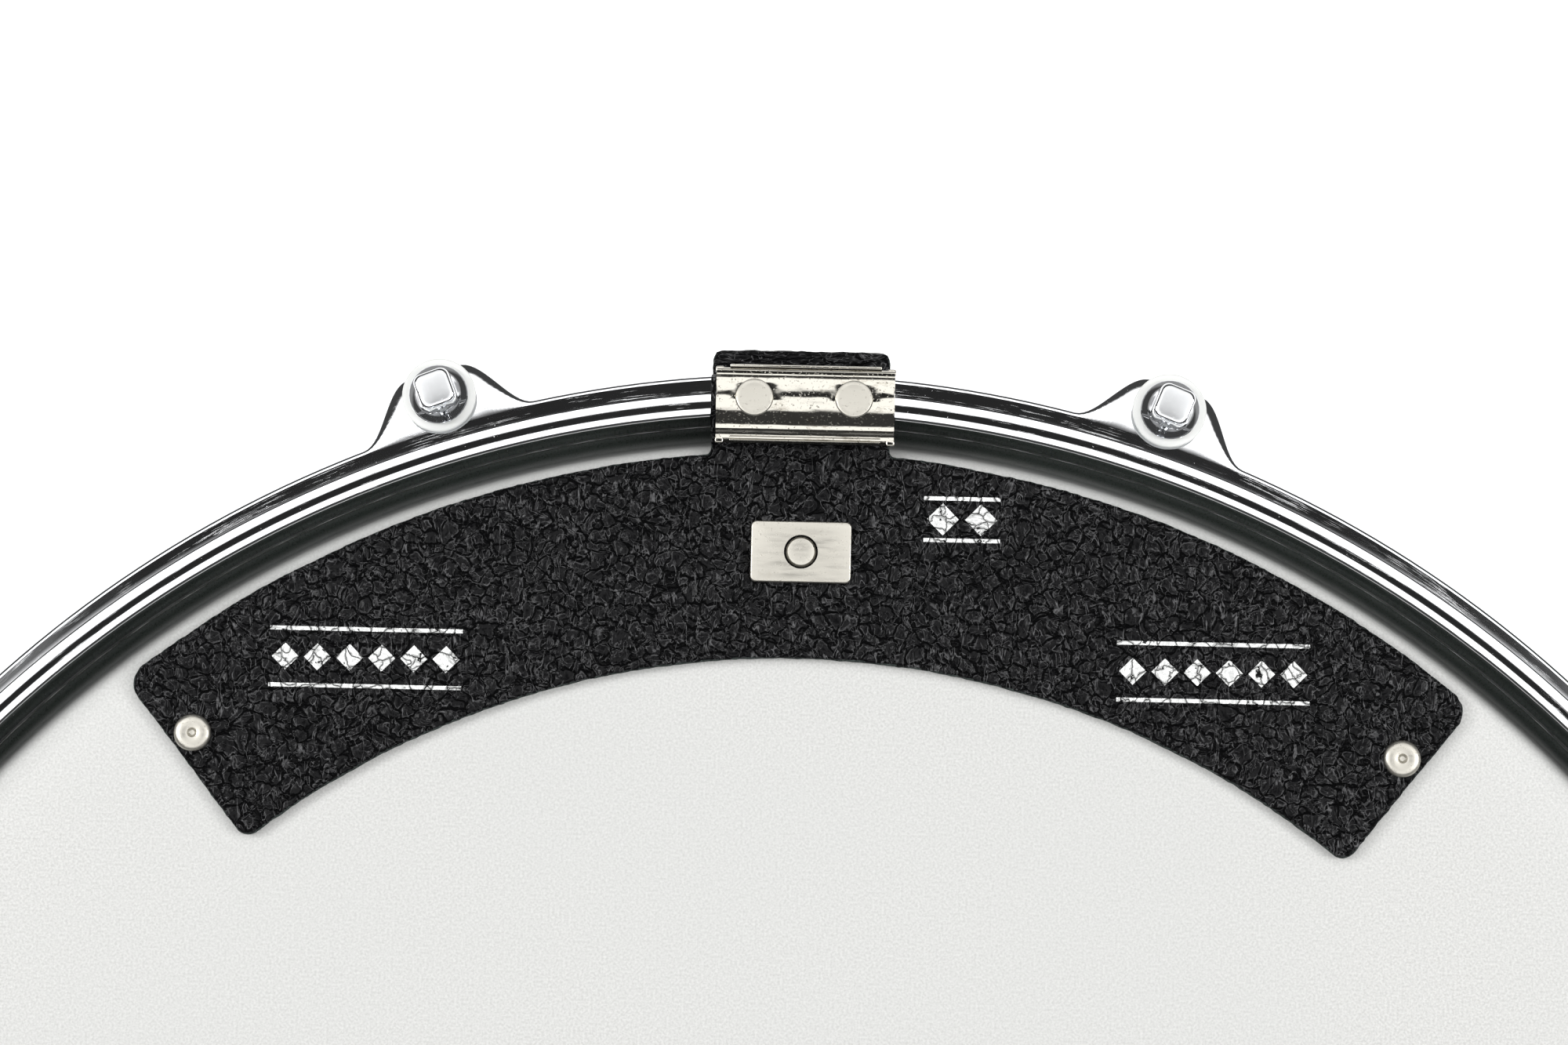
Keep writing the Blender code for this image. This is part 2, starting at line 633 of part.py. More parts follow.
def make_damper():
    head = HEAD_TOP
    leaf_low = head + GAP
    leaf_top = leaf_low + LEATHER
    shank = 1.3 * MM
    hinge = (0, FLIP_Y, FLIP_Z)
    to_hinge = Matrix.Translation((0, -hinge[1], -hinge[2]))

    def riding(name, mesh, material):
        mesh.transform(to_hinge)
        part(name, mesh, material, location=hinge)

    side = END_RIVET_CIRCLE * math.sin(END_RIVET_ANGLE)
    spots = [(sign * side, END_RIVET_CIRCLE * math.cos(END_RIVET_ANGLE)) for sign in (-1, 1)]
    holes = [cylinder(shank + GAP, 10 * MM, 8, Matrix.Translation((x, y, leaf_low - 4 * MM)))
             for x, y in [*spots, (0, STEEL_PLATE_Y)]]
    leaf = plate(leaf_outline(), leaf_low, leaf_top)
    riding("damper_leaf", cut(leaf, joined(holes)), LEATHER_BLACK)

    for name, (x, y) in zip(("end_rivet_left", "end_rivet_right"), spots):
        mesh = rivet(3.05 * MM, 0.9 * MM, shank, LEATHER)
        mesh.transform(Matrix.Translation((x, y, leaf_top + GAP)))
        riding(name, mesh, NICKEL)

    plate_low = leaf_top + GAP
    plate_top = plate_low + 1.5 * MM
    half_x, half_y = 8.15 * MM, 4.95 * MM
    low = (-half_x, STEEL_PLATE_Y - half_y, plate_low)
    steel = box(low, (half_x, STEEL_PLATE_Y + half_y, plate_top), 0.4 * MM)
    hole = cylinder(shank + GAP, 10 * MM, 8, Matrix.Translation((0, STEEL_PLATE_Y, plate_low - 4 * MM)))
    riding("steel_plate", cut(steel, hole), NICKEL)
    middle = rivet(2.5 * MM, 0.6 * MM, shank, LEATHER + 1.5 * MM + GAP)
    middle.transform(Matrix.Translation((0, STEEL_PLATE_Y, plate_top + GAP)))
    riding("plate_rivet", middle, NICKEL)

    inner_y, outer_y = 178.4 * MM, 186.0 * MM
    top_z = RIM_TOP + GAP + LEATHER / 2
    corner = 0.8 * MM
    strap_path = [
        (inner_y, STRAP_LOW),
        (inner_y, top_z - corner),
        (inner_y + corner, top_z),
        (outer_y - corner, top_z),
        (outer_y, top_z - corner),
        (outer_y, FLANGE_TOP + 3.6 * MM),
        (outer_y + 1.2 * MM, FLANGE_TOP + 1.9 * MM),
        (outer_y + 4.2 * MM, FLANGE_TOP + 1.6 * MM),
    ]
    strap = cross_section(ribbon(strap_path, LEATHER / 2), STRAP_LEATHER_HALF_WIDTH)
    strap_top = top_z + LEATHER / 2
    clip_top = strap_top + GAP + CLIP_SHEET
    clip_mid = (inner_y + outer_y) / 2
    clip_holes = [cylinder(shank + GAP, 20 * MM, 8, Matrix.Translation((x, clip_mid, strap_top - 5 * MM)))
                  for x in (-CLIP_RIVET_X, CLIP_RIVET_X)]
    strap_holes = [cylinder(shank + GAP, 20 * MM, 8, Matrix.Translation((x, clip_mid, RIM_TOP - 2 * MM)))
                   for x in (-CLIP_RIVET_X, CLIP_RIVET_X)]
    part("damper_strap", cut(strap, joined(strap_holes)), LEATHER_BLACK)

    reach = LEATHER / 2 + GAP + CLIP_SHEET / 2
    sheet_z = strap_top + GAP + CLIP_SHEET / 2
    turn = 1.5 * MM
    flare = 1.0 * MM
    inner_face, outer_face = inner_y - reach, outer_y + reach
    clip_path = [
        (inner_face - flare, LIP_LOW),
        (inner_face, LIP_LOW + flare),
        (inner_face, sheet_z - turn),
        (inner_face + turn, sheet_z),
        (outer_face - turn, sheet_z),
        (outer_face, sheet_z - turn),
        (outer_face, LIP_LOW + flare),
        (outer_face + flare, LIP_LOW),
    ]
    clip = cross_section(ribbon(clip_path, CLIP_SHEET / 2), STRAP_LEATHER_HALF_WIDTH)
    part("damper_clip", cut(clip, joined(clip_holes)), NICKEL)
    for name, x in (("clip_rivet_left", -CLIP_RIVET_X), ("clip_rivet_right", CLIP_RIVET_X)):
        mesh = rivet(2.95 * MM, 0.8 * MM, shank, CLIP_SHEET + GAP + LEATHER)
        mesh.transform(Matrix.Translation((x, clip_mid, clip_top + GAP)))
        part(name, mesh, NICKEL)


# ---------------------------------------------------------------- the whole drum

clear_scene()
DRUM = new_collection("snare_drum")
CUTTERS = new_collection("helpers")
CHROME = new_material("chrome", (0.8, 0.81, 0.82), 0.07, 1.0)
NICKEL = new_material("nickel", (0.78, 0.76, 0.7), 0.2, 1.0)
STEEL = new_material("steel", (0.62, 0.62, 0.63), 0.3, 1.0)
ALUMINIUM = new_material("aluminium", (0.75, 0.75, 0.76), 0.35, 1.0)
FILM_WHITE = new_material("head_film", (0.8, 0.81, 0.79), 0.5)
STRAP_FILM = new_material("strap_film", (0.75, 0.76, 0.76), 0.3)
PLY = new_material("ply", (0.03, 0.028, 0.026), 0.25)
LEATHER_BLACK = new_material("leather", (0.02, 0.02, 0.021), 0.55)
MID_FRAME = frame_empty("drum_frame")
BATTER_SIDE = frame_empty("batter_side")
RESONANT_SIDE = frame_empty("resonant_side", (0, math.pi, 0))

make_shell()
make_lugs()
for side_name, side_frame in (("batter", BATTER_SIDE), ("resonant", RESONANT_SIDE)):
    make_head(side_name, side_frame)
    make_hoop(f"{side_name}_hoop", side_frame, gates=side_name == "resonant")
    make_rods(side_name, side_frame)
make_snares()
make_strainer()
make_butt()
make_damper()
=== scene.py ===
"""The looks of a 14 inch snare drum with a leather damper clipped on its batter rim.

Metres, +Z up. The drum stands on its resonant rim, and the damper is at +Y. Lengths are written in
millimetres times MM. Both sides of the drum are made by the same functions: a side's own frame has its
origin at the middle of the shell and its Z axis out of that side.
"""

import math

import bmesh
import bpy
import numpy as np
from mathutils import Matrix, Vector, noise


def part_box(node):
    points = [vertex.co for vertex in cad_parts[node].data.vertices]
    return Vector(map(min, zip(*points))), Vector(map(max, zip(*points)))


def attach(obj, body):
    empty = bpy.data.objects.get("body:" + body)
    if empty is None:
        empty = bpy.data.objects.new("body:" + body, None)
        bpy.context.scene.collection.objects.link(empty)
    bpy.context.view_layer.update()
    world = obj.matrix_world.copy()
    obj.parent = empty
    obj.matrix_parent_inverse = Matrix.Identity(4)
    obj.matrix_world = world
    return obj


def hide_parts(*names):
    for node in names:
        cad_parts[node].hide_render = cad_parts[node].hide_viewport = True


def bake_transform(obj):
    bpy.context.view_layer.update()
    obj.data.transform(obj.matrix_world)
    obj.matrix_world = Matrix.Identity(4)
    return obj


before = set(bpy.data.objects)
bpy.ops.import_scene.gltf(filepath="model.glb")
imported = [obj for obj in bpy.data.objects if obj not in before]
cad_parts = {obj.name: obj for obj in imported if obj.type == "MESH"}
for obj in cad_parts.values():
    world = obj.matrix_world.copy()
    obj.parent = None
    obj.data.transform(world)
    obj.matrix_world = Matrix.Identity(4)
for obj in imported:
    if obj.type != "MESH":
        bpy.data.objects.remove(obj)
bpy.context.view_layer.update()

MM = 0.001
LUGS = 10
LUG_ANGLES = [math.radians(18 + 36 * k) for k in range(LUGS)]

# Heights above the shell's middle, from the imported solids
RIM_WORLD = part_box("batter_hoop")[1].z
MIDDLE = RIM_WORLD / 2
RIM_TOP = RIM_WORLD - MIDDLE
FLANGE_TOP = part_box("batter_rod_01")[0].z + 42 * MM - MIDDLE
HEAD_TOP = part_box("batter_head")[1].z - MIDDLE
LEAF_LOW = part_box("damper_leaf")[0].z - MIDDLE
SHELL_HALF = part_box("shell")[1].z - MIDDLE
CLIP_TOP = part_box("damper_clip")[1].z - MIDDLE

ROD_CIRCLE = 193.5 * MM
RIM_INNER = 181.0 * MM
RIM_OUTER = 184.2 * MM
SKIRT_OUTER = 189.0 * MM
SHEET = 2.3 * MM
SHELL_RADIUS = 177.0 * MM

BATTER = Matrix.Translation((0, 0, MIDDLE))
RESONANT = BATTER @ Matrix.Rotation(math.pi, 4, "Y")


# ---------------------------------------------------------------- shapes: (points, faces)


def mm(*points):
    """Points given in millimetres, in metres."""
    return [tuple(a * MM for a in point) for point in points]


def ring_faces(rows, count, wrap_rows=False):
    """Quads between neighbouring rows of count points, all the way round each row."""
    faces = []
    for i in range(rows if wrap_rows else rows - 1):
        a, b = i * count, (i + 1) % rows * count
        for j in range(count):
            k = (j + 1) % count
            faces.append((a + j, a + k, b + k, b + j))
    return faces


def loft(rings, closed=False):
    """A skin over rings of equal length, capped at both ends, or closed from the last ring to the first."""
    count = len(rings[0])
    points = [tuple(p) for ring in rings for p in ring]
    faces = ring_faces(len(rings), count, wrap_rows=closed)
    if not closed:
        faces.append(tuple(range(count))[::-1])
        last = (len(rings) - 1) * count
        faces.append(tuple(range(last, last + count)))
    return points, faces


def merged(*shapes):
    points, faces = [], []
    for more_points, more_faces in shapes:
        shift = len(points)
        points += more_points
        faces += [tuple(k + shift for k in face) for face in more_faces]
    return points, faces


def moved(shape, matrix):
    return [tuple(matrix @ Vector(p)) for p in shape[0]], shape[1]


def rounded(corners, radii, closed=True, steps=5):
    """A polyline with each corner rounded to its own radius. radii is one number or one for each corner."""
    count = len(corners)
    if isinstance(radii, (int, float)):
        radii = [radii] * count
    points = []
    for k, radius in enumerate(radii):
        here = Vector(corners[k])
        if radius <= 0 or (not closed and k in (0, count - 1)):
            points.append(tuple(here))
            continue
        back = Vector(corners[k - 1]) - here
        ahead = Vector(corners[(k + 1) % count]) - here
        half = back.angle(ahead) / 2
        reach = min(radius / math.tan(half), back.length * 0.49, ahead.length * 0.49)
        radius = reach * math.tan(half)
        back.normalize()
        ahead.normalize()
        start = here + back * reach
        centre = here + (back + ahead).normalized() * radius / math.sin(half)
        sweep = math.pi - 2 * half
        side = 1 if back.x * ahead.y - back.y * ahead.x < 0 else -1
        for i in range(steps + 1):
            turn = -side * sweep * i / steps
            arm = start - centre
            cos, sin = math.cos(turn), math.sin(turn)
            points.append((centre.x + arm.x * cos + arm.y * sin, centre.y - arm.x * sin + arm.y * cos))
    return points


def lathe(profile, steps=64, closed=False):
    """A turned shape round Z from (r, z) points. Open profiles are capped at both ends."""
    turns = [2 * math.pi * k / steps for k in range(steps)]
    rings = [[(r * math.sin(t), r * math.cos(t), z) for t in turns] for r, z in profile]
    return loft(rings, closed=closed)


def inset(outline, distance):
    """A counter-clockwise outline moved inwards along its normals by a distance, or by one for each point."""
    count = len(outline)
    if isinstance(distance, (int, float)):
        distance = [distance] * count
    moved_points = []
    for k, (x, y) in enumerate(outline):
        before, after = Vector(outline[k - 1]), Vector(outline[(k + 1) % count])
        here = Vector((x, y))
        ways = [w.normalized() for w in (here - before, after - here) if w.length > 1e-9]
        normals = [Vector((-w.y, w.x)) for w in ways]
        normal = sum(normals, Vector((0, 0))).normalized()
        stretch = distance[k] / max(normal.dot(normals[0]), 0.4)
        moved_points.append((x + normal.x * stretch, y + normal.y * stretch))
    return moved_points


def slab(outline, low, high, edge, steps=3):
    """A plate with rounded edges over a counter-clockwise outline, from z low to high."""
    turns = [math.pi / 2 * k / steps for k in range(steps, -1, -1)]
    steps_up = [(low + edge * (1 - math.sin(t)), edge * (1 - math.cos(t))) for t in turns]
    steps_up += [(high - edge * (1 - math.cos(t)), edge * (1 - math.sin(t))) for t in turns]
    return loft([[(x, y, z) for x, y in inset(outline, back)] for z, back in steps_up])


def rectangle(x0, y0, x1, y1, radius, steps=4):
    return rounded([(x0, y0), (x1, y0), (x1, y1), (x0, y1)], radius, steps=steps)


def superellipse(half, radius, count=32):
    """A square of that half width with corners of that radius; round where the two are equal."""
    points = []
    flat = half - radius
    for k in range(count):
        t = 2 * math.pi * (k + 0.5) / count
        corner = (math.copysign(flat, math.cos(t)), math.copysign(flat, math.sin(t)))
        points.append((corner[0] + radius * math.cos(t), corner[1] + radius * math.sin(t)))
    return points


def sweep(path, radius, sides=10):
    """A round tube along a path of points."""
    path = [Vector(p) for p in path]
    rings = []
    side = None
    for k, here in enumerate(path):
        along = (path[min(k + 1, len(path) - 1)] - path[max(k - 1, 0)]).normalized()
        if side is None:
            side = along.orthogonal().normalized()
        side = (side - along * side.dot(along)).normalized()
        up = along.cross(side)
        rings.append([here + side * radius * math.cos(2 * math.pi * j / sides)
                      + up * radius * math.sin(2 * math.pi * j / sides) for j in range(sides)])
    return loft(rings)


def ribbon(path, half):
    """The outline of a bent strip of thickness 2 * half that follows a path of (a, b) points."""
    left, right = [], []
    for k, here in enumerate(path):
        here = Vector(here)
        before, after = Vector(path[max(k - 1, 0)]), Vector(path[min(k + 1, len(path) - 1)])
        ways = [w.normalized() for w in (here - before, after - here) if w.length > 1e-9]
        along = sum(ways, Vector((0, 0))).normalized()
        side = Vector((-along.y, along.x)) * half / max(along.dot(ways[0]), 0.5)
        left.append(tuple(here + side))
        right.append(tuple(here - side))
    return left + right[::-1]


# ---------------------------------------------------------------- pieces


def mesh_of(name, shape):
    mesh = bpy.data.meshes.new(name)
    mesh.from_pydata([tuple(p) for p in shape[0]], [], shape[1])
    body = bmesh.new()
    body.from_mesh(mesh)
    bmesh.ops.remove_doubles(body, verts=body.verts, dist=1e-7)
    bmesh.ops.dissolve_degenerate(body, edges=body.edges, dist=1e-8)
    bmesh.ops.recalc_face_normals(body, faces=body.faces)
    body.to_mesh(mesh)
    body.free()
    return mesh


def finish_mesh(mesh, sharp=35):
    mesh.shade_smooth()
    mesh.set_sharp_from_angle(angle=math.radians(sharp))


def piece(name, shape, material, body, matrix=None, stands_for=(), sharp=35):
    """A shown piece on a CAD body. shape is (points, faces), or a mesh that pieces share."""
    mesh = shape if isinstance(shape, bpy.types.Mesh) else mesh_of(name, shape)
    if not mesh.materials:
        mesh.materials.append(material)
        finish_mesh(mesh, sharp)
    obj = bpy.data.objects.new(name, mesh)
    bpy.context.scene.collection.objects.link(obj)
    obj.matrix_world = matrix or Matrix.Identity(4)
    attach(obj, body)
    if stands_for:
        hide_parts(*stands_for)
    return obj


def cut(mesh, shapes):
    """The mesh less some shapes, by a Boolean that is applied."""
    base = bpy.data.objects.new("base", mesh)
    tool = bpy.data.objects.new("tool", mesh_of("tool", merged(*shapes)))
    for obj in (base, tool):
        bpy.context.scene.collection.objects.link(obj)
    step = base.modifiers.new("cut", "BOOLEAN")
    step.operation = "DIFFERENCE"
    step.solver = "EXACT"
    step.object = tool
    bpy.context.view_layer.update()
    graph = bpy.context.evaluated_depsgraph_get()
    made = bpy.data.meshes.new_from_object(base.evaluated_get(graph))
    for obj in (base, tool):
        bpy.data.objects.remove(obj)
    return made


def lug_place(angle, radius, z=0.0):
    """A frame on the drum's side whose Y axis points out from the drum's axis."""
    return Matrix.Rotation(-angle, 4, "Z") @ Matrix.Translation((0, radius, z))


# ---------------------------------------------------------------- materials


class Shader:
    """A Principled material and short calls that add and link its nodes."""

    def __init__(self, name, colour, roughness, metallic=0.0, **sockets):
        self.material = bpy.data.materials.new(name)
        self.material.use_nodes = True
        self.tree = self.material.node_tree
        self.bsdf = self.tree.nodes["Principled BSDF"]
        self.bsdf.inputs["Base Color"].default_value = (*colour, 1)
        self.bsdf.inputs["Roughness"].default_value = roughness
        self.bsdf.inputs["Metallic"].default_value = metallic
        for socket, value in sockets.items():
            self.bsdf.inputs[socket.replace("_", " ")].default_value = value
        self.coordinates = None

    def add(self, kind, inputs=None, **settings):
        node = self.tree.nodes.new(kind)
        for key, value in settings.items():
            setattr(node, key, value)
        for socket, value in (inputs or {}).items():
            self.put(value, node.inputs[socket])
        return node

    def put(self, value, socket):
        """Links a node's output to a socket, or sets the socket's own value."""
        if isinstance(value, bpy.types.NodeSocket):
            self.tree.links.new(value, socket)
        else:
            socket.default_value = value

    def place(self, stretch=(1, 1, 1), rest=False):
        """Object coordinates, or the mesh's stored rest positions, scaled by stretch."""
        if rest:
            source = self.add("ShaderNodeAttribute", attribute_name="rest").outputs["Vector"]
        else:
            source = self.add("ShaderNodeTexCoord").outputs["Object"]
        return self.add("ShaderNodeMapping", {"Vector": source, "Scale": stretch}).outputs["Vector"]

    def noise(self, scale, where, detail=2.0, roughness=0.5, distortion=0.0):
        inputs = {"Vector": where, "Scale": scale, "Detail": detail, "Roughness": roughness,
                  "Distortion": distortion}
        return self.add("ShaderNodeTexNoise", inputs).outputs["Fac"]

    def ramp(self, value, low, high, to_low=0.0, to_high=1.0):
        """value mapped from low..high to to_low..to_high, clamped."""
        return self.add("ShaderNodeMapRange", {"Value": value, "From Min": low, "From Max": high,
                                               "To Min": to_low, "To Max": to_high}).outputs["Result"]

    def math(self, operation, a, b=0.0):
        return self.add("ShaderNodeMath", {0: a, 1: b}, operation=operation).outputs[0]

    def mix(self, share, first, second):
        node = self.add("ShaderNodeMix", data_type="RGBA")
        self.put(share, node.inputs[0])
        for socket, colour in ((node.inputs[6], first), (node.inputs[7], second)):
            self.put((*colour, 1) if isinstance(colour, tuple) else colour, socket)
        return node.outputs[2]

    def bump(self, height, distance, strength=1.0, normal=None):
        inputs = {"Height": height, "Distance": distance, "Strength": strength}
        if normal is not None:
            inputs["Normal"] = normal
        return self.add("ShaderNodeBump", inputs).outputs["Normal"]

    def drive(self, **sockets):
        for socket, value in sockets.items():
            self.put(value, self.bsdf.inputs[socket.replace("_", " ")])
        return self.material


def chrome_material(name, colour, roughness, speck=0.7, round_hairs=False):
    """Plated metal: a mirror with a faint swell, hairlines along it or round the drum, and specks of dust."""
    s = Shader(name, colour, roughness, 1.0)
    where = s.place()
    swell = s.noise(60, where)
    if round_hairs:
        split = s.add("ShaderNodeSeparateXYZ", {"Vector": where})
        x, y, z = (split.outputs[k] for k in ("X", "Y", "Z"))
        reach = s.math("SQRT", s.math("ADD", s.math("MULTIPLY", x, x), s.math("MULTIPLY", y, y)))
        # a radian counts as 6 mm, so the noise is drawn out along the hoop
        turn = s.math("MULTIPLY", s.math("ARCTAN2", x, y), 0.006)
        along = s.add("ShaderNodeCombineXYZ", {"X": turn, "Y": reach, "Z": z}).outputs[0]
    else:
        along = s.place((1, 0.06, 1))
    hairs = s.noise(2400, along, detail=4, roughness=0.7)
    patches = s.noise(90, where, detail=3)
    worn = s.math("MULTIPLY", s.ramp(hairs, 0.55, 0.72), s.ramp(patches, 0.4, 0.65))
    dust = s.ramp(s.noise(2600, where, detail=2), speck, speck + 0.03)
    rough = s.ramp(swell, 0.3, 0.7, roughness * 0.7, roughness * 1.4)
    rough = s.math("ADD", rough, s.math("MULTIPLY", worn, 0.1))
    rough = s.math("MAXIMUM", rough, s.math("MULTIPLY", dust, 0.42))
    normal = s.bump(swell, 0.05 * MM, 0.25)
    normal = s.bump(worn, 0.01 * MM, 0.5, normal)
    return s.drive(Roughness=rough, Normal=normal)


def nickel_material(name, roughness, dirt):
    """Warm nickel plate with fine brushing, dull smears and small pits. dirt is how much of it is dull."""
    s = Shader(name, (0.52, 0.5, 0.45), roughness, 1.0)
    where = s.place()
    brushed = s.noise(1400, s.place((0.12, 1, 1)), detail=3)
    cloudy = s.noise(330, s.place((0.5, 1, 1)), detail=6, roughness=0.75)
    wavy = s.noise(420, s.place((0.6, 1, 1)), detail=3)
    pits = s.ramp(s.noise(2600, where, detail=3), 0.62, 0.7)
    smear = s.ramp(cloudy, 0.62 - 0.07 * dirt, 0.78 - 0.07 * dirt)
    colour = s.mix(s.math("MULTIPLY", smear, 0.35 + 0.3 * dirt), (0.56, 0.54, 0.485), (0.2, 0.17, 0.115))
    colour = s.mix(s.math("MULTIPLY", pits, 0.3 + 0.3 * dirt), colour, (0.07, 0.055, 0.035))
    rough = s.ramp(brushed, 0.3, 0.7, roughness * 0.8, roughness * 1.25)
    rough = s.math("ADD", rough, s.math("MULTIPLY", smear, 0.1))
    normal = s.bump(wavy, 0.06 * MM * dirt, 0.5)
    normal = s.bump(brushed, 0.012 * MM, 0.3, normal)
    normal = s.bump(pits, 0.03 * MM, 0.4, normal)
    return s.drive(Base_Color=colour, Roughness=rough, Normal=normal)


def metal_material(name, colour, roughness, grain):
    """Bare metal with a fine grain along its length."""
    s = Shader(name, colour, roughness, 1.0)
    fine = s.noise(1200, s.place(grain), detail=3)
    dull = s.noise(90, s.place(), detail=3)
    shade = s.mix(s.ramp(dull, 0.35, 0.7, 0, 0.5), colour, tuple(0.7 * c for c in colour))
    rough = s.ramp(fine, 0.3, 0.7, roughness * 0.75, roughness * 1.3)
    return s.drive(Base_Color=shade, Roughness=rough, Normal=s.bump(fine, 0.02 * MM, 0.3))


def head_material(name):
    """Polyester film under a matt sprayed coating, with its fine grain and a few handling marks. Near the rim,
    where the coating stops, the film is painted dark: partly the real clear film, partly painted shade for the
    hoop's shadow and the dark parts under it.
    """
    s = Shader(name, (0.6, 0.6, 0.585), 0.5, 0.0, Specular_IOR_Level=0.3)
    where = s.place()
    grain = s.noise(2600, where, detail=2, roughness=0.6)
    cloud = s.noise(14, where, detail=3)
    colour = s.mix(s.ramp(grain, 0.3, 0.7), (0.54, 0.54, 0.525), (0.71, 0.71, 0.695))
    colour = s.mix(s.ramp(cloud, 0.35, 0.65, 0, 0.25), colour, (0.6, 0.61, 0.6))
    flat = s.add("ShaderNodeVectorMath", {0: where, 1: (1, 1, 0)}, operation="MULTIPLY").outputs[0]
    reach = s.add("ShaderNodeVectorMath", {0: flat}, operation="LENGTH").outputs["Value"]
    # the uncoated collar: real clear film, drawn as an opaque dark colour that is painted shade for the hoop's
    # shadow and the flesh hoop beneath
    bare_collar_shade = s.add("ShaderNodeMapRange", {"Value": s.math("ADD", reach, s.math("MULTIPLY", grain, 0.8 * MM)),
                                        "From Min": 175.6 * MM, "From Max": 180.2 * MM},
                 interpolation_type="SMOOTHSTEP").outputs["Result"]
    # painted shade: the collar darkens towards the hoop
    colour = s.mix(bare_collar_shade, colour, (0.03, 0.036, 0.032))
    rough = s.math("SUBTRACT", s.ramp(grain, 0.3, 0.7, 0.42, 0.6), s.math("MULTIPLY", bare_collar_shade, 0.2))
    return s.drive(Base_Color=colour, Roughness=rough, Normal=s.bump(grain, 0.05 * MM, 0.6))


# The leather's printed marks: centre, half length and half height, in millimetres
FOIL_MARKS = (((-70, 140.5), 15.6, 4.6), ((67, 141), 15.6, 4.6), ((26, 165), 6.2, 3.4))
DIAMOND_PITCH = 5.2
LINE_HALF = 0.32


def foil_mark(s, where, centre, half_length, half_height):
    """A mask for a printed band: a row of diamonds between two thin lines, at centre in millimetres."""
    place = s.add("ShaderNodeMapping", {"Vector": where, "Location": (centre[0] * MM, centre[1] * MM, 0),
                                        "Scale": (MM, MM, MM)}, vector_type="TEXTURE").outputs["Vector"]
    split = s.add("ShaderNodeSeparateXYZ", {"Vector": place})
    u, v = split.outputs["X"], s.math("ABSOLUTE", split.outputs["Y"])
    pitch = 2 * half_length / max(round(2 * half_length / DIAMOND_PITCH), 1)
    wave = s.math("FRACT", s.math("ADD", s.math("DIVIDE", u, pitch), 20))
    wave = s.math("ABSOLUTE", s.math("SUBTRACT", wave, 0.5))
    diamond = s.math("LESS_THAN", s.math("ADD", s.math("MULTIPLY", wave, pitch), v), pitch * 0.42)
    line = s.math("LESS_THAN", s.math("ABSOLUTE", s.math("SUBTRACT", v, half_height)), LINE_HALF)
    inside = s.math("LESS_THAN", s.math("ABSOLUTE", u), half_length)
    return s.math("MULTIPLY", s.math("MAXIMUM", diamond, line), inside)


def suede_material(name):
    """The leather's cut edges and underside: grey-green fibres."""
    s = Shader(name, (0.02, 0.02, 0.022), 0.95, 0.0, Specular_IOR_Level=0.11)
    fibre = s.noise(1500, s.place((1, 1, 0.3), rest=True), detail=5, roughness=0.75)
    fuzz = s.mix(s.ramp(fibre, 0.35, 0.65), (0.012, 0.017, 0.016), (0.075, 0.09, 0.085))
    return s.drive(Base_Color=fuzz, Normal=s.bump(fibre, 0.25 * MM, 0.8))


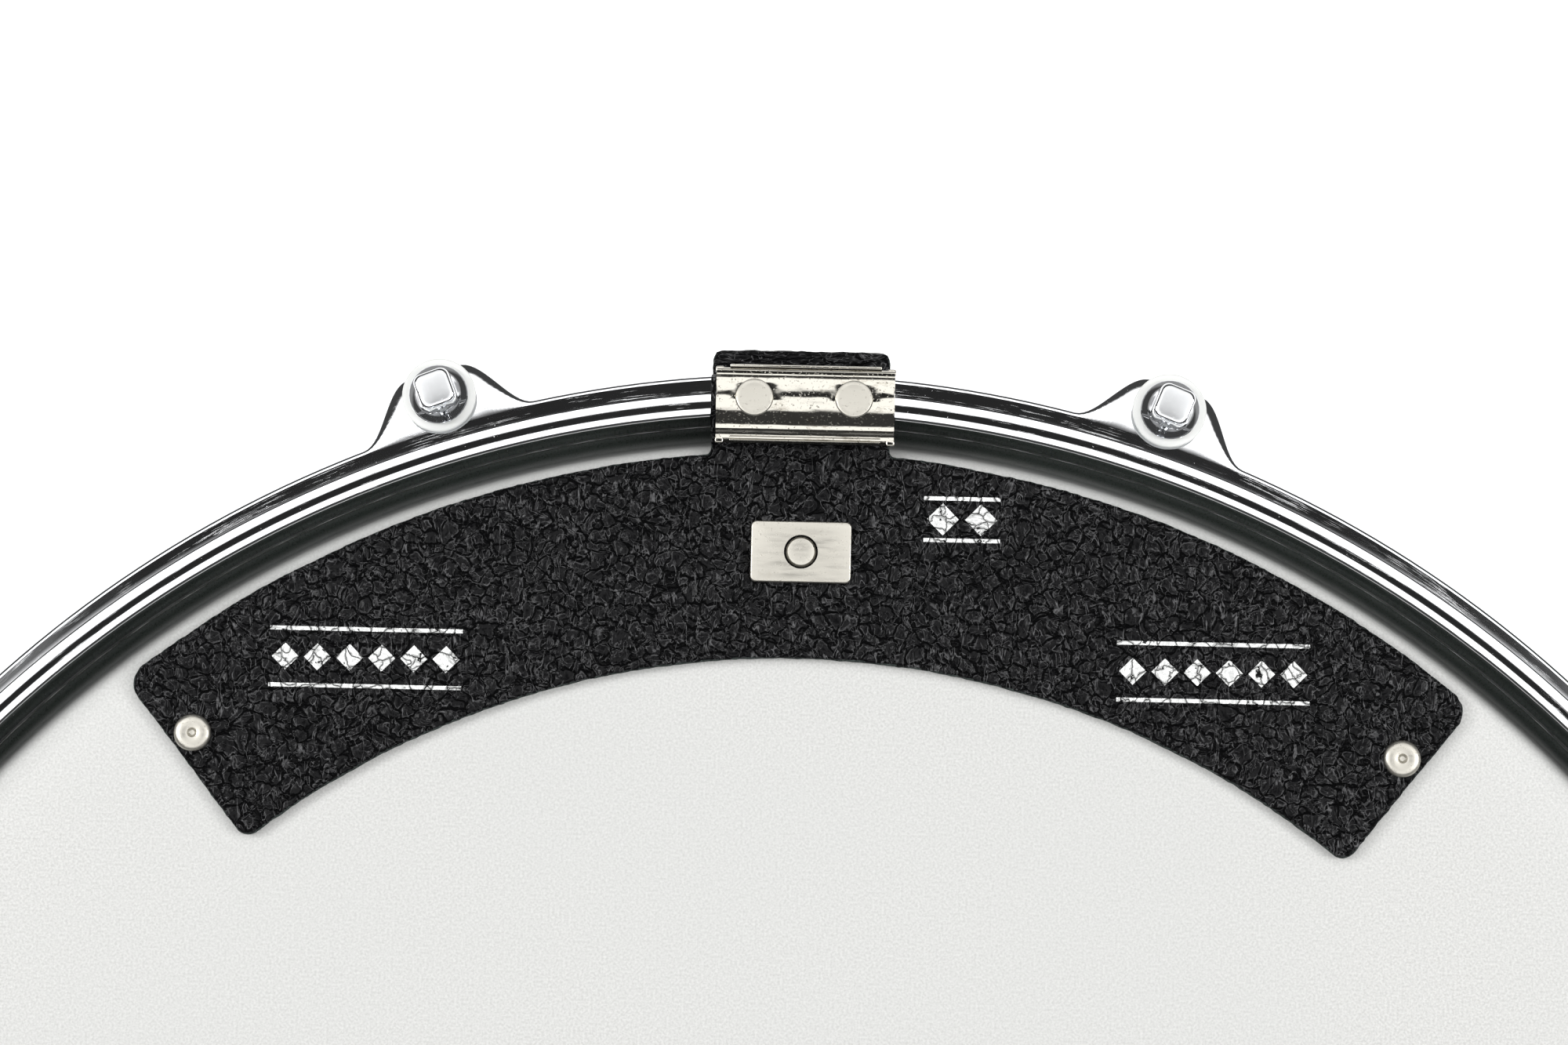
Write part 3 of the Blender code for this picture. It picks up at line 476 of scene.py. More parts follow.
def leather_material(name):
    """Black pebbled leather: domed cells with painted shade in the creases between them, painted highlights
    along wrinkles and cell rims, and worn foil printing.
    """
    s = Shader(name, (0.02, 0.02, 0.022), 0.5, 0.0, Specular_IOR_Level=0.11)
    where = s.place(rest=True)

    def warped(place, scale, amount):
        warp = s.add("ShaderNodeTexNoise", {"Vector": place, "Scale": scale, "Detail": 2.0}).outputs["Color"]
        bent = s.add("ShaderNodeVectorMath", {0: warp, 1: (0.5, 0.5, 0.5)}, operation="SUBTRACT").outputs[0]
        bent = s.add("ShaderNodeVectorMath", {0: bent, "Scale": amount}, operation="SCALE").outputs[0]
        return s.add("ShaderNodeVectorMath", {0: place, 1: bent}, operation="ADD").outputs[0]

    place = warped(warped(where, 160.0, 4.0 * MM), 620.0, 1.5 * MM)
    fine_place = warped(where, 500.0, 2.2 * MM)
    cells = 430.0
    edge, reach = (s.add("ShaderNodeTexVoronoi", {"Vector": place, "Scale": cells}, feature=feature)
                   .outputs["Distance"] for feature in ("DISTANCE_TO_EDGE", "F1"))
    dome = s.math("SUBTRACT", 1.0, s.math("MULTIPLY", reach, reach))
    crease = s.ramp(edge, 0.0, 0.08)
    fine = s.noise(2600, fine_place, detail=3, roughness=0.65)
    folds = s.noise(330, s.place((1.7, 0.55, 1), rest=True), detail=2, roughness=0.5, distortion=1.2)
    cross = s.noise(420, s.place((0.8, 1.1, 1), rest=True), detail=2, roughness=0.5, distortion=1.6)
    short = s.ramp(s.noise(520, where, detail=2), 0.5, 0.56)
    # thin painted highlights along wrinkles, in two families of strokes; they also drive a fine bump
    glint_stroke = s.ramp(s.math("ABSOLUTE", s.math("SUBTRACT", folds, 0.5)), 0.004, 0.022, 1.0, 0.0)
    cross_glint = s.ramp(s.math("ABSOLUTE", s.math("SUBTRACT", cross, 0.47)), 0.003, 0.016, 0.8, 0.0)
    glint_stroke = s.math("MAXIMUM", s.math("MULTIPLY", glint_stroke, short),
                    s.math("MULTIPLY", cross_glint, s.math("SUBTRACT", 1.0, short)))
    # rim: a painted highlight along each cell's shoulder, near its edge
    rim = s.ramp(s.math("ABSOLUTE", s.math("SUBTRACT", edge, 0.13)), 0.0, 0.05, 0.55, 0.0)
    rim = s.math("MULTIPLY", rim, s.ramp(s.noise(640, fine_place, detail=2), 0.5, 0.62))
    glint_stroke = s.math("MAXIMUM", s.math("MULTIPLY", glint_stroke, s.ramp(edge, 0.15, 0.4, 1.0, 0.35)), rim)
    height = s.math("ADD", s.math("MULTIPLY", dome, 1.3), s.math("MULTIPLY", crease, 0.4))
    height = s.math("ADD", height, s.math("MULTIPLY", folds, 0.4))
    # painted shade: the colour is darker in the creases between cells
    colour = s.mix(crease, (0.0006, 0.0006, 0.0008), (0.0034, 0.0034, 0.0039))
    # the painted highlights of the wrinkles and cell rims, mixed into the colour
    colour = s.mix(s.math("MULTIPLY", glint_stroke, 0.6), colour, (0.19, 0.19, 0.195))
    rough = s.math("ADD", s.ramp(fine, 0.3, 0.7, 0.2, 0.3), s.ramp(crease, 0.0, 1.0, 0.4, 0.0))
    first, *others = (foil_mark(s, where, *mark) for mark in FOIL_MARKS)
    marks = first
    for other in others:
        marks = s.math("MAXIMUM", marks, other)
    worn = s.math("MULTIPLY", s.ramp(edge, 0.012, 0.03), s.ramp(s.noise(1100, where, detail=3), 0.3, 0.36))
    foil = s.math("MULTIPLY", marks, worn)
    colour = s.mix(foil, colour, (0.8, 0.81, 0.8))
    normal = s.bump(height, 0.55 * MM, 1.0)
    normal = s.bump(s.math("ADD", fine, glint_stroke), 0.02 * MM, 0.5, normal)
    return s.drive(Base_Color=colour, Roughness=rough, Metallic=s.math("MULTIPLY", foil, 0.3), Normal=normal)


def nylon_material(name):
    """Milky nylon washers."""
    s = Shader(name, (0.83, 0.84, 0.82), 0.42, 0.0, Subsurface_Weight=0.2, Subsurface_Scale=1.0 * MM,
               Subsurface_Radius=(1, 1, 1))
    grain = s.noise(1800, s.place(), detail=2)
    return s.drive(Roughness=s.ramp(grain, 0.3, 0.7, 0.35, 0.5), Normal=s.bump(grain, 0.03 * MM, 0.4))


def film_material(name):
    """Clear polyester strap, milky with fine scratches along it."""
    s = Shader(name, (0.72, 0.74, 0.74), 0.25, 0.0, Coat_Weight=0.3)
    hairs = s.noise(900, s.place((1, 0.08, 0.08)), detail=3)
    colour = s.mix(s.ramp(hairs, 0.55, 0.75), (0.66, 0.69, 0.7), (0.85, 0.86, 0.86))
    return s.drive(Base_Color=colour, Roughness=s.ramp(hairs, 0.3, 0.7, 0.18, 0.4))


def lacquer_material(name):
    """Black lacquer over ply: the grain shows as a faint relief and the odd brown streak."""
    s = Shader(name, (0.014, 0.013, 0.013), 0.22, 0.0, Coat_Weight=0.7, Coat_Roughness=0.06)
    grain = s.noise(70, s.place((1, 1, 14)), detail=5, roughness=0.6, distortion=0.4)
    pores = s.ramp(s.noise(500, s.place((1, 1, 0.12)), detail=3), 0.62, 0.72)
    colour = s.mix(s.ramp(grain, 0.45, 0.75), (0.008, 0.0075, 0.0075), (0.03, 0.022, 0.018))
    rough = s.math("ADD", s.ramp(grain, 0.3, 0.7, 0.16, 0.26), s.math("MULTIPLY", pores, 0.2))
    normal = s.bump(s.math("SUBTRACT", grain, pores), 0.08 * MM, 0.3)
    return s.drive(Base_Color=colour, Roughness=rough, Normal=normal)


def wood_material(name):
    """The raw inside of the ply shell: pale maple, with its grain round the drum."""
    s = Shader(name, (0.55, 0.36, 0.2), 0.5)
    grain = s.noise(60, s.place((1, 1, 10)), detail=5, roughness=0.65, distortion=0.6)
    flecks = s.ramp(s.noise(700, s.place((0.2, 0.2, 1)), detail=3), 0.58, 0.7)
    colour = s.mix(s.ramp(grain, 0.35, 0.7), (0.62, 0.43, 0.25), (0.46, 0.28, 0.14))
    colour = s.mix(s.math("MULTIPLY", flecks, 0.5), colour, (0.3, 0.17, 0.08))
    rough = s.ramp(grain, 0.3, 0.7, 0.42, 0.58)
    return s.drive(Base_Color=colour, Roughness=rough, Normal=s.bump(grain, 0.1 * MM, 0.4))


def floor_material(name):
    """A white floor that falls to grey away from the drum, so the chrome has something darker to reflect. Near
    the drum it glows, a painted pool of light that washes out the drum's shadow.
    """
    s = Shader(name, (0.86, 0.86, 0.86), 0.85)
    where = s.place()
    tone = s.noise(3, where, detail=3)
    away = s.add("ShaderNodeVectorMath", {0: where}, operation="LENGTH").outputs["Value"]
    # near: a painted pool of light round the drum, white and glowing close by, grey further off
    near = s.ramp(away, 0.34, 0.95, 1.0, 0.0)
    colour = s.mix(s.ramp(tone, 0.3, 0.7), (0.85, 0.85, 0.85), (0.89, 0.89, 0.89))
    colour = s.mix(near, (0.36, 0.36, 0.365), colour)
    # painted light: the floor glows near the drum, though it is no lamp
    s.bsdf.inputs["Emission Color"].default_value = (1, 1, 1, 1)
    return s.drive(Base_Color=colour, Emission_Strength=s.math("MULTIPLY", near, 0.45))


CHROME = chrome_material("chrome", (0.86, 0.87, 0.885), 0.045, speck=0.74, round_hairs=True)
ROD_CHROME = chrome_material("rod_chrome", (0.7, 0.71, 0.72), 0.34, speck=0.64)
PART_CHROME = chrome_material("part_chrome", (0.83, 0.84, 0.85), 0.07, speck=0.76)
NICKEL = nickel_material("nickel", 0.4, 0.0)
CLIP_NICKEL = nickel_material("clip_nickel", 0.1, 1.0)
STEEL = metal_material("steel", (0.6, 0.6, 0.61), 0.28, (1, 1, 0.1))
ALUMINIUM = metal_material("aluminium", (0.72, 0.72, 0.73), 0.35, (0.1, 0.1, 1))
HEAD = head_material("head_film")
LEATHER = leather_material("leather")
SUEDE = suede_material("leather_edge")
NYLON = nylon_material("nylon")
STRAP = film_material("strap_film")
LACQUER = lacquer_material("lacquered_ply")
WOOD = wood_material("maple_ply")


# ---------------------------------------------------------------- hoops


EAR_HALF_ANGLE = math.radians(5.6)
EAR_STEPS = 56
FREE_STEPS = 24
EAR_NOSE, EAR_FOOT = 4.2 * MM, 14.6 * MM
EAR_REACH = 8.9 * MM


def hoop_angles():
    """Angles round the hoop, close together at the ears."""
    angles = []
    free = 2 * math.pi / LUGS - 2 * EAR_HALF_ANGLE
    for centre in LUG_ANGLES:
        angles += [centre - EAR_HALF_ANGLE + 2 * EAR_HALF_ANGLE * k / EAR_STEPS for k in range(EAR_STEPS + 1)]
        angles += [centre + EAR_HALF_ANGLE + free * k / FREE_STEPS for k in range(1, FREE_STEPS)]
    return angles


def ear_reach(angle):
    """How far the ear stands out of the round skirt at this angle: a flat nose with fillets each side."""
    offset = min(abs((angle - a + math.pi) % (2 * math.pi) - math.pi) for a in LUG_ANGLES) * SKIRT_OUTER
    share = min(max((offset - EAR_NOSE) / (EAR_FOOT - EAR_NOSE), 0), 1)
    bell = 0.5 * (1 + math.cos(math.pi * share))
    crown = 0.35 * MM * (1 - min(offset / EAR_NOSE, 1) ** 2)
    return EAR_REACH * bell + crown


def crest_section():
    """The rolled rim as (r, z) points from outside in: a broad crown that bends tighter at its edges."""
    tilts = [40, 28, 20] + [16 - 2.3 * k for k in range(13)] + [-17, -20, -23.6, -32, -45, -60]
    points = [(0.0, 0.0)]
    for first, second in zip(tilts, tilts[1:]):
        bend = (5.0 if -12 < first <= 16 else 2.0 if -24 < first < 0 else 0.6) * MM
        first, second = math.radians(first), math.radians(second)
        r, z = points[-1]
        points.append((r - bend * (math.sin(first) - math.sin(second)),
                       z - bend * (math.cos(first) - math.cos(second))))
    inward = RIM_INNER - points[-1][0]
    up = RIM_TOP - max(z for _, z in points)
    return [(r + inward, z + up) for r, z in points]


def hoop_mesh(name, gates):
    """A triple-flanged hoop, as rings that each follow the eared outline or a circle."""
    angles = hoop_angles()[::-1]
    reach = [ear_reach(a) for a in angles]
    outline = [((SKIRT_OUTER + e) * math.sin(a), (SKIRT_OUTER + e) * math.cos(a))
               for a, e in zip(angles, reach)]
    share = [min(e / (6 * MM), 1) for e in reach]
    bevel = [(0.3 + 1.8 * k) * MM for k in share]
    bevel_angle = math.radians(22)
    slope = math.tan(bevel_angle)
    droop = [0.05 * e for e in reach]
    edge, fold = 0.5 * MM, 0.4 * MM
    skirt_low = FLANGE_TOP - 10.5 * MM

    def outline_ring(distance, heights):
        return [(x, y, z) for (x, y), z in zip(inset(outline, distance), heights)]

    def level(z):
        return [z] * len(angles)

    def round_ring(r, z):
        return [(r * math.sin(a), r * math.cos(a), z) for a in angles]

    rings = [outline_ring(edge, level(skirt_low)), outline_ring(0, level(skirt_low + edge))]
    for k in range(6):
        turn = (math.pi / 2 - bevel_angle) * k / 5
        rise = fold * (math.sin(turn) - math.cos(bevel_angle))
        bevel_foot = [FLANGE_TOP - d - w * slope + rise for d, w in zip(droop, bevel)]
        rings.append(outline_ring(fold * (1 - math.cos(turn)), bevel_foot))
    inner = fold * (1 - math.sin(bevel_angle))
    rings.append(outline_ring([inner + w for w in bevel], [FLANGE_TOP - d for d in droop]))
    # the flat between the bevel and the wall starts round, but inside the bevel where there is no ear
    for limit in (188.3, 187.9):
        ring = []
        for a, e, w in zip(angles, reach, bevel):
            r = min(limit * MM, SKIRT_OUTER + e - (inner + w) * 1.25 - (188.4 - limit) * 0.3 * MM)
            ring.append((r * math.sin(a), r * math.cos(a), FLANGE_TOP))
        rings.append(ring)
    wall = RIM_OUTER - 0.2 * MM
    lip_low = RIM_TOP - 2.3 * MM
    section = rounded(
        [(187.2 * MM, FLANGE_TOP), (wall, FLANGE_TOP), (wall, lip_low), (RIM_OUTER, lip_low + 0.3 * MM),
         (RIM_OUTER, RIM_TOP - 0.35 * MM)],
        [0, 2.8 * MM, 0.1 * MM, 0.1 * MM, 0], closed=False, steps=8,
    )
    section = section[:-1] + crest_section()
    section += rounded(
        [(RIM_INNER, RIM_TOP - 2 * MM), (RIM_INNER, FLANGE_TOP - SHEET),
         (wall + 1.5 * MM, FLANGE_TOP - SHEET)],
        [0, 0.9 * MM, 0], closed=False, steps=4,
    )
    rings += [round_ring(r, z) for r, z in section]
    under = [FLANGE_TOP - SHEET - d - w * slope for d, w in zip(droop, bevel)]
    rings += [outline_ring(SHEET + 0.6 * MM, [z + 0.05 * MM for z in under]),
              outline_ring(SHEET, [z - 0.6 * MM for z in under]),
              outline_ring(SHEET, level(skirt_low + edge)), outline_ring(SHEET - edge, level(skirt_low))]
    mesh = mesh_of(name, loft(rings, closed=True))
    drill = lathe(mm((3.6, -6), (3.6, 6)), 24)
    cutters = [moved(drill, lug_place(a, ROD_CIRCLE, FLANGE_TOP)) for a in LUG_ANGLES]
    if gates:
        gate = rectangle(-24 * MM, FLANGE_TOP - 3.5 * MM, 24 * MM, RIM_TOP + 9 * MM, 2.5 * MM)
        stand = Matrix.Rotation(math.pi / 2, 4, "X")
        notch = slab(gate, -12 * MM, 12 * MM, 0.01 * MM, 1)
        for y in (184 * MM, -184 * MM):
            cutters.append(moved(notch, Matrix.Translation((0, y, 0)) @ stand))
    return cut(mesh, cutters)


def make_hoops():
    for side, matrix, gates in (("batter", BATTER, False), ("resonant", RESONANT, True)):
        mesh = hoop_mesh(f"{side}_hoop_rolled", gates)
        piece(f"{side}_hoop_rolled", mesh, CHROME, "drum", matrix, (f"{side}_hoop",))


# ---------------------------------------------------------------- heads


def make_heads():
    film = 0.25 * MM
    flesh_top = FLANGE_TOP - SHEET - 0.3 * MM
    collar = rounded([(0, HEAD_TOP), (176.9 * MM, HEAD_TOP), (178.5 * MM, HEAD_TOP - 5.2 * MM),
                      (181.05 * MM, HEAD_TOP - 6.6 * MM)], [0, 2.2 * MM, 2.4 * MM, 0], closed=False, steps=10)
    top = [(r, HEAD_TOP) for r in (4 * MM, 40 * MM, 90 * MM, 140 * MM, 165 * MM)]
    outer = top + collar[1:]
    inner = [(max(r - film, 3 * MM), z - film) for r, z in outer][::-1]
    ring = rounded([(185.2 * MM, flesh_top), (181.1 * MM, flesh_top), (181.1 * MM, flesh_top - 9.2 * MM),
                    (185.2 * MM, flesh_top - 9.2 * MM)], 1.2 * MM)
    for side, matrix in (("batter", BATTER), ("resonant", RESONANT)):
        piece(f"{side}_film", lathe(outer + inner, 200), HEAD, "drum", matrix, (f"{side}_head",))
        piece(f"{side}_flesh_ring", lathe(ring, 128, closed=True), ALUMINIUM, "drum", matrix,
              (f"{side}_flesh_hoop",))


# ---------------------------------------------------------------- rods, washers and lugs


def rod_mesh():
    """A key rod: square head, collar that flares down to a round flange, and a threaded shank."""
    washer = 1.7 * MM

    def square(half, corner, z):
        return [(x, y, z) for x, y in superellipse(half, corner)]

    def disc(radius, z):
        return square(radius, radius, z)

    rings = []
    low = -40.3 * MM
    rings += [disc(1.9 * MM, low), disc(2.5 * MM, low + 0.8 * MM)]
    z = low + 0.8 * MM
    pitch = 0.8 * MM
    while z < -16 * MM:
        rings += [disc(2.72 * MM, z + pitch * 0.35), disc(2.42 * MM, z + pitch * 0.85)]
        z += pitch
    rings += [disc(2.72 * MM, z + pitch), disc(2.72 * MM, washer - 0.1 * MM)]
    flange = ((4.5, 0), (4.8, 0.3), (4.85, 0.9), (4.6, 1.25), (3.9, 1.55), (3.55, 2.0))
    rings += [disc(r * MM, washer + z * MM) for r, z in flange]
    head = washer + 2.4 * MM
    rings += [square(3.15 * MM, 2.7 * MM, head), square(3.05 * MM, 1.7 * MM, head + 0.6 * MM),
              square(3.05 * MM, 1.45 * MM, head + 1.3 * MM), square(2.98 * MM, 1.4 * MM, head + 5.3 * MM)]
    dome = [(0.05, 5.7), (0.2, 6.0), (0.42, 6.15), (0.8, 6.2), (1.5, 6.24), (2.3, 6.26), (2.7, 6.26)]
    rings += [square((2.98 - d) * MM, min(1.4 * MM, (2.98 - d) * MM), head + z * MM) for d, z in dome]
    mesh = mesh_of("key_rod", loft(rings))
    for material in (CHROME, ROD_CHROME):
        mesh.materials.append(material)
    for face in mesh.polygons:
        face.material_index = int(face.center.z > head + 6.16 * MM)
    finish_mesh(mesh)
    return mesh


def make_rods():
    rod = rod_mesh()
    nylon = rounded(mm((6.05, 0.8), (6.05, 1.65), (2.9, 1.65), (2.9, 0.8)), 0.3 * MM, steps=3)
    washer = mesh_of("washer", lathe(nylon, 48, closed=True))
    plain = rounded(mm((5.6, 0.02), (5.6, 0.75), (2.95, 0.75), (2.95, 0.02)), 0.2 * MM, steps=3)
    steel = mesh_of("steel_washer", lathe(plain, 48, closed=True))
    for side, matrix in (("batter", BATTER), ("resonant", RESONANT)):
        for number, angle in enumerate(LUG_ANGLES, 1):
            place = matrix @ lug_place(angle, ROD_CIRCLE, FLANGE_TOP)
            degrees = 7 * ((number * 5) % 4 - 1.5)
            turn = Matrix.Rotation(math.radians(degrees), 4, "Z")
            node = f"{side}_rod_{number:02d}"
            piece(f"{side}_key_rod_{number:02d}", rod, CHROME, node, place @ turn, (node,))
            piece(f"{side}_nylon_washer_{number:02d}", washer, NYLON, "drum", place)
            piece(f"{side}_steel_washer_{number:02d}", steel, PART_CHROME, "drum", place)


POST_HEIGHT = 25 * MM


def lug_mesh():
    """A tube lug: turned ends, a bead round its middle, and two posts with spread feet."""
    half = 45 * MM
    outer = rounded([(3.3 * MM, half), (4.9 * MM, half), (5.5 * MM, half - 1.6 * MM),
                     (5.5 * MM, half - 6 * MM), (4.9 * MM, half - 7 * MM), (4.9 * MM, 3.6 * MM),
                     (5.5 * MM, 3.0 * MM)],
                    [r * MM for r in (0, 0.5, 0.9, 0.6, 0.8, 0.6, 0.6)], closed=False, steps=4)
    bore = [(3.3 * MM, half - 21 * MM), (0.4 * MM, half - 21.5 * MM)]
    top = bore[::-1] + outer
    profile = top + [(r, -z) for r, z in top[::-1]]
    tube = lathe(profile, 40)
    reach = ROD_CIRCLE - SHELL_RADIUS - 0.4 * MM
    post = lathe([(3.6 * MM, -1 * MM), (3.6 * MM, -reach + 5 * MM), (3.8 * MM, -reach + 3 * MM),
                  (4.6 * MM, -reach + 1.5 * MM), (6.2 * MM, -reach + 0.7 * MM), (6.3 * MM, -reach)], 32)
    lay = Matrix.Rotation(-math.pi / 2, 4, "X")
    posts = [moved(post, Matrix.Translation((0, 0, z)) @ lay) for z in (-POST_HEIGHT, POST_HEIGHT)]
    return mesh_of("tube_lug", merged(tube, *posts))


def screw_shape(start, reach):
    """A pan-head screw along +Y from inside the shell, its head's inner face at y = start."""
    head = lathe(rounded([(0.3 * MM, 0), (3.6 * MM, 0.3 * MM), (4.1 * MM, 2.1 * MM), (1.8 * MM, 2.1 * MM),
                          (1.8 * MM, reach)], [0, 1.0 * MM, 0.3 * MM, 0, 0], closed=False), 24)
    return moved(head, Matrix.Translation((0, start, 0)) @ Matrix.Rotation(-math.pi / 2, 4, "X"))


def make_lugs():
    mesh = lug_mesh()
    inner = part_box("lug_03")[0].x
    screw = screw_shape(inner, 9 * MM)
    screws = [moved(screw, Matrix.Translation((0, 0, z))) for z in (-POST_HEIGHT, POST_HEIGHT)]
    screw_mesh = mesh_of("lug_screws", merged(*screws))
    for number, angle in enumerate(LUG_ANGLES, 1):
        node = f"lug_{number:02d}"
        place = BATTER @ lug_place(angle, ROD_CIRCLE)
        piece(f"tube_{node}", mesh, PART_CHROME, "drum", place, (node,))
        piece(f"lug_screws_{number:02d}", screw_mesh, STEEL, "drum", BATTER @ lug_place(angle, 0))


# ---------------------------------------------------------------- shell


def make_shell():
    inner = SHELL_RADIUS - 6 * MM
    half = SHELL_HALF
    vent_angle = math.radians(108)
    edge = [(inner, half - 4.5 * MM), (175.3 * MM, half), (175.7 * MM, half), (SHELL_RADIUS, half - 1.5 * MM)]
    profile = edge + [(r, -z) for r, z in edge[::-1]]
    mesh = mesh_of("ply_shell", lathe(rounded(profile, 0.3 * MM, steps=2), 240, closed=True))
    for material in (LACQUER, WOOD):
        mesh.materials.append(material)
    vent = moved(lathe(mm((6.1, -20), (6.1, 20)), 32),
                 lug_place(vent_angle, SHELL_RADIUS) @ Matrix.Rotation(math.pi / 2, 4, "X"))
    mesh = cut(mesh, [vent])
    for face in mesh.polygons:
        out = Vector((face.center.x, face.center.y))
        outside = out.length > SHELL_RADIUS - 0.8 * MM and abs(face.center.z) < half - 1.2 * MM
        face.material_index = 0 if outside else 1
    finish_mesh(mesh)
    piece("ply_shell", mesh, LACQUER, "drum", BATTER, ("shell",))
    eyelet = mm((5.7, -7.2), (5.7, 0.1), (9.4, 0.1), (9.0, 0.9), (6.6, 1.6), (4.9, 0.6), (4.9, -7.2))
    eyelet = rounded(eyelet, [r * MM for r in (0, 0, 0.2, 0.3, 1.2, 1.2, 0)], steps=5)
    place = BATTER @ lug_place(vent_angle, SHELL_RADIUS + 0.3 * MM) @ Matrix.Rotation(-math.pi / 2, 4, "X")
    piece("vent_eyelet", lathe(eyelet, 48, closed=True), PART_CHROME, "drum", place,
          ("vent_grommet",))


# ---------------------------------------------------------------- snares, strainer and butt


def upright(sign):
    """A frame that stands a flat outline up: X stays level, Y goes up, and Z points away from the drum."""
    turn = Matrix.Rotation(math.pi / 2, 4, "X")
    return (Matrix.Rotation(math.pi, 4, "Z") if sign > 0 else Matrix.Identity(4)) @ turn


def standing(outline, near, far, edge, sign):
    """A plate over an outline of (x, height), from near to far from the axis."""
    return moved(slab(outline, near, far, edge), upright(sign))


def turned_out(profile, x, z, sign, steps=32):
    """A turned shape whose axis points away from the drum at (x, height z), its profile's z the distance."""
    return moved(lathe(profile, steps), upright(sign) @ Matrix.Translation((x, z, 0)))


def key_screw(x, z, start, sign):
    """A small drum-key screw: a flange and a square head with rounded corners."""
    steps = mm((1, 1, -7), (1, 1, 0), (2.2, 2.2, 0.05), (2.2, 2.2, 0.6), (1.5, 0.5, 0.75), (1.45, 0.45, 2.2),
               (1.2, 0.4, 2.45))
    rings = [[(a, b, start + rise) for a, b in superellipse(half, corner, 24)]
             for half, corner, rise in steps]
    return moved(loft(rings), upright(sign) @ Matrix.Translation((x, z, 0)))


def strap_shape(path, half_width, sign):
    outline = ribbon(path, 0.2 * MM)
    return loft([[(x, sign * y, z) for y, z in outline] for x in np.linspace(-half_width, half_width, 6)])


def node_box(name):
    """A node's box as (low, high), with heights above the shell's middle."""
    low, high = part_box(name)
    low, high = Vector(low), Vector(high)
    low.z -= MIDDLE
    high.z -= MIDDLE
    return low, high


def make_snares():
    low, high = node_box("snare_wires")
    strand_radius = 0.9 * MM
    strand_z = -HEAD_TOP - 0.3 * MM - strand_radius
    wire = 0.28 * MM
    pitch = 1.5 * MM
    half_length = 160 * MM
    per_turn = 7
    strands = []
    for k in range(20):
        x = (k - 9.5) * 2.2 * MM
        steps = int(2 * half_length / pitch * per_turn)
        path = []
        for i in range(steps + 1):
            turn = 2 * math.pi * i / per_turn + 1.3 * k
            coil = strand_radius - wire
            path.append((x + coil * math.cos(turn), -half_length + 2 * half_length * i / steps,
                         strand_z + coil * math.sin(turn)))
        strands.append(sweep(path, wire, 4))
    plates = []
    for sign in (-1, 1):
        outline = rectangle(low.x, sign * 165 * MM - 7 * MM, high.x, sign * 165 * MM + 7 * MM, 1.5 * MM)
        plates.append(slab(outline, strand_z - 1.6 * MM, strand_z - 0.3 * MM, 0.3 * MM))
        plates.append(slab(inset(outline, 3 * MM), strand_z - 0.5 * MM, strand_z + 0.6 * MM, 0.4 * MM))
    piece("coiled_snare_wires", merged(*strands, *plates), STEEL, "snares", BATTER, ("snare_wires",))

    strap_z = node_box("butt_strap")[0].z + 0.25 * MM
    reach = node_box("butt_strap")[1].y - 0.25 * MM
    path = [(159 * MM, strap_z), (reach, strap_z), (reach, -24 * MM)]
    path = rounded(path, 4.2 * MM, closed=False, steps=8)
    for name, sign, body in (("butt_strap", 1, "drum"), ("throw_off_strap", -1, "carriage")):
        piece(f"{name}_film", strap_shape(path, 8.5 * MM, sign), STRAP, body, BATTER, (name,))


def clamp_shapes(node, sign):
    """A clamp's bar, and its two screws."""
    low, high = node_box(node)
    front = max(abs(low.y), abs(high.y)) - 2.4 * MM
    bar = standing(rectangle(low.x, low.z, high.x, high.z, 1.2 * MM), front - 2 * MM, front, 0.5 * MM, sign)
    middle = (low.z + high.z) / 2
    screws = [key_screw(x, middle, front + 0.1 * MM, sign) for x in (-10.4 * MM, 10.4 * MM)]
    return bar, screws


def make_butt():
    low, high = node_box("butt_plate")
    outline = rectangle(low.x, low.z, high.x, high.z, 5 * MM, steps=8)
    back = 177.4 * MM
    body = standing(outline, back, back + 3 * MM, 0.8 * MM, 1)
    block = standing(rectangle(low.x + 1 * MM, low.z + 4 * MM, high.x - 1 * MM, high.z - 4 * MM, 2.5 * MM),
                     back + 2.5 * MM, high.y, 1.0 * MM, 1)
    bar, screws = clamp_shapes("butt_clamp", 1)
    piece("butt_block", merged(body, block), PART_CHROME, "drum", BATTER, ("butt_plate",))
    piece("butt_clamp_bar", bar, PART_CHROME, "drum", BATTER, ("butt_clamp",))
    piece("butt_clamp_screws", merged(*screws), STEEL, "drum", BATTER)


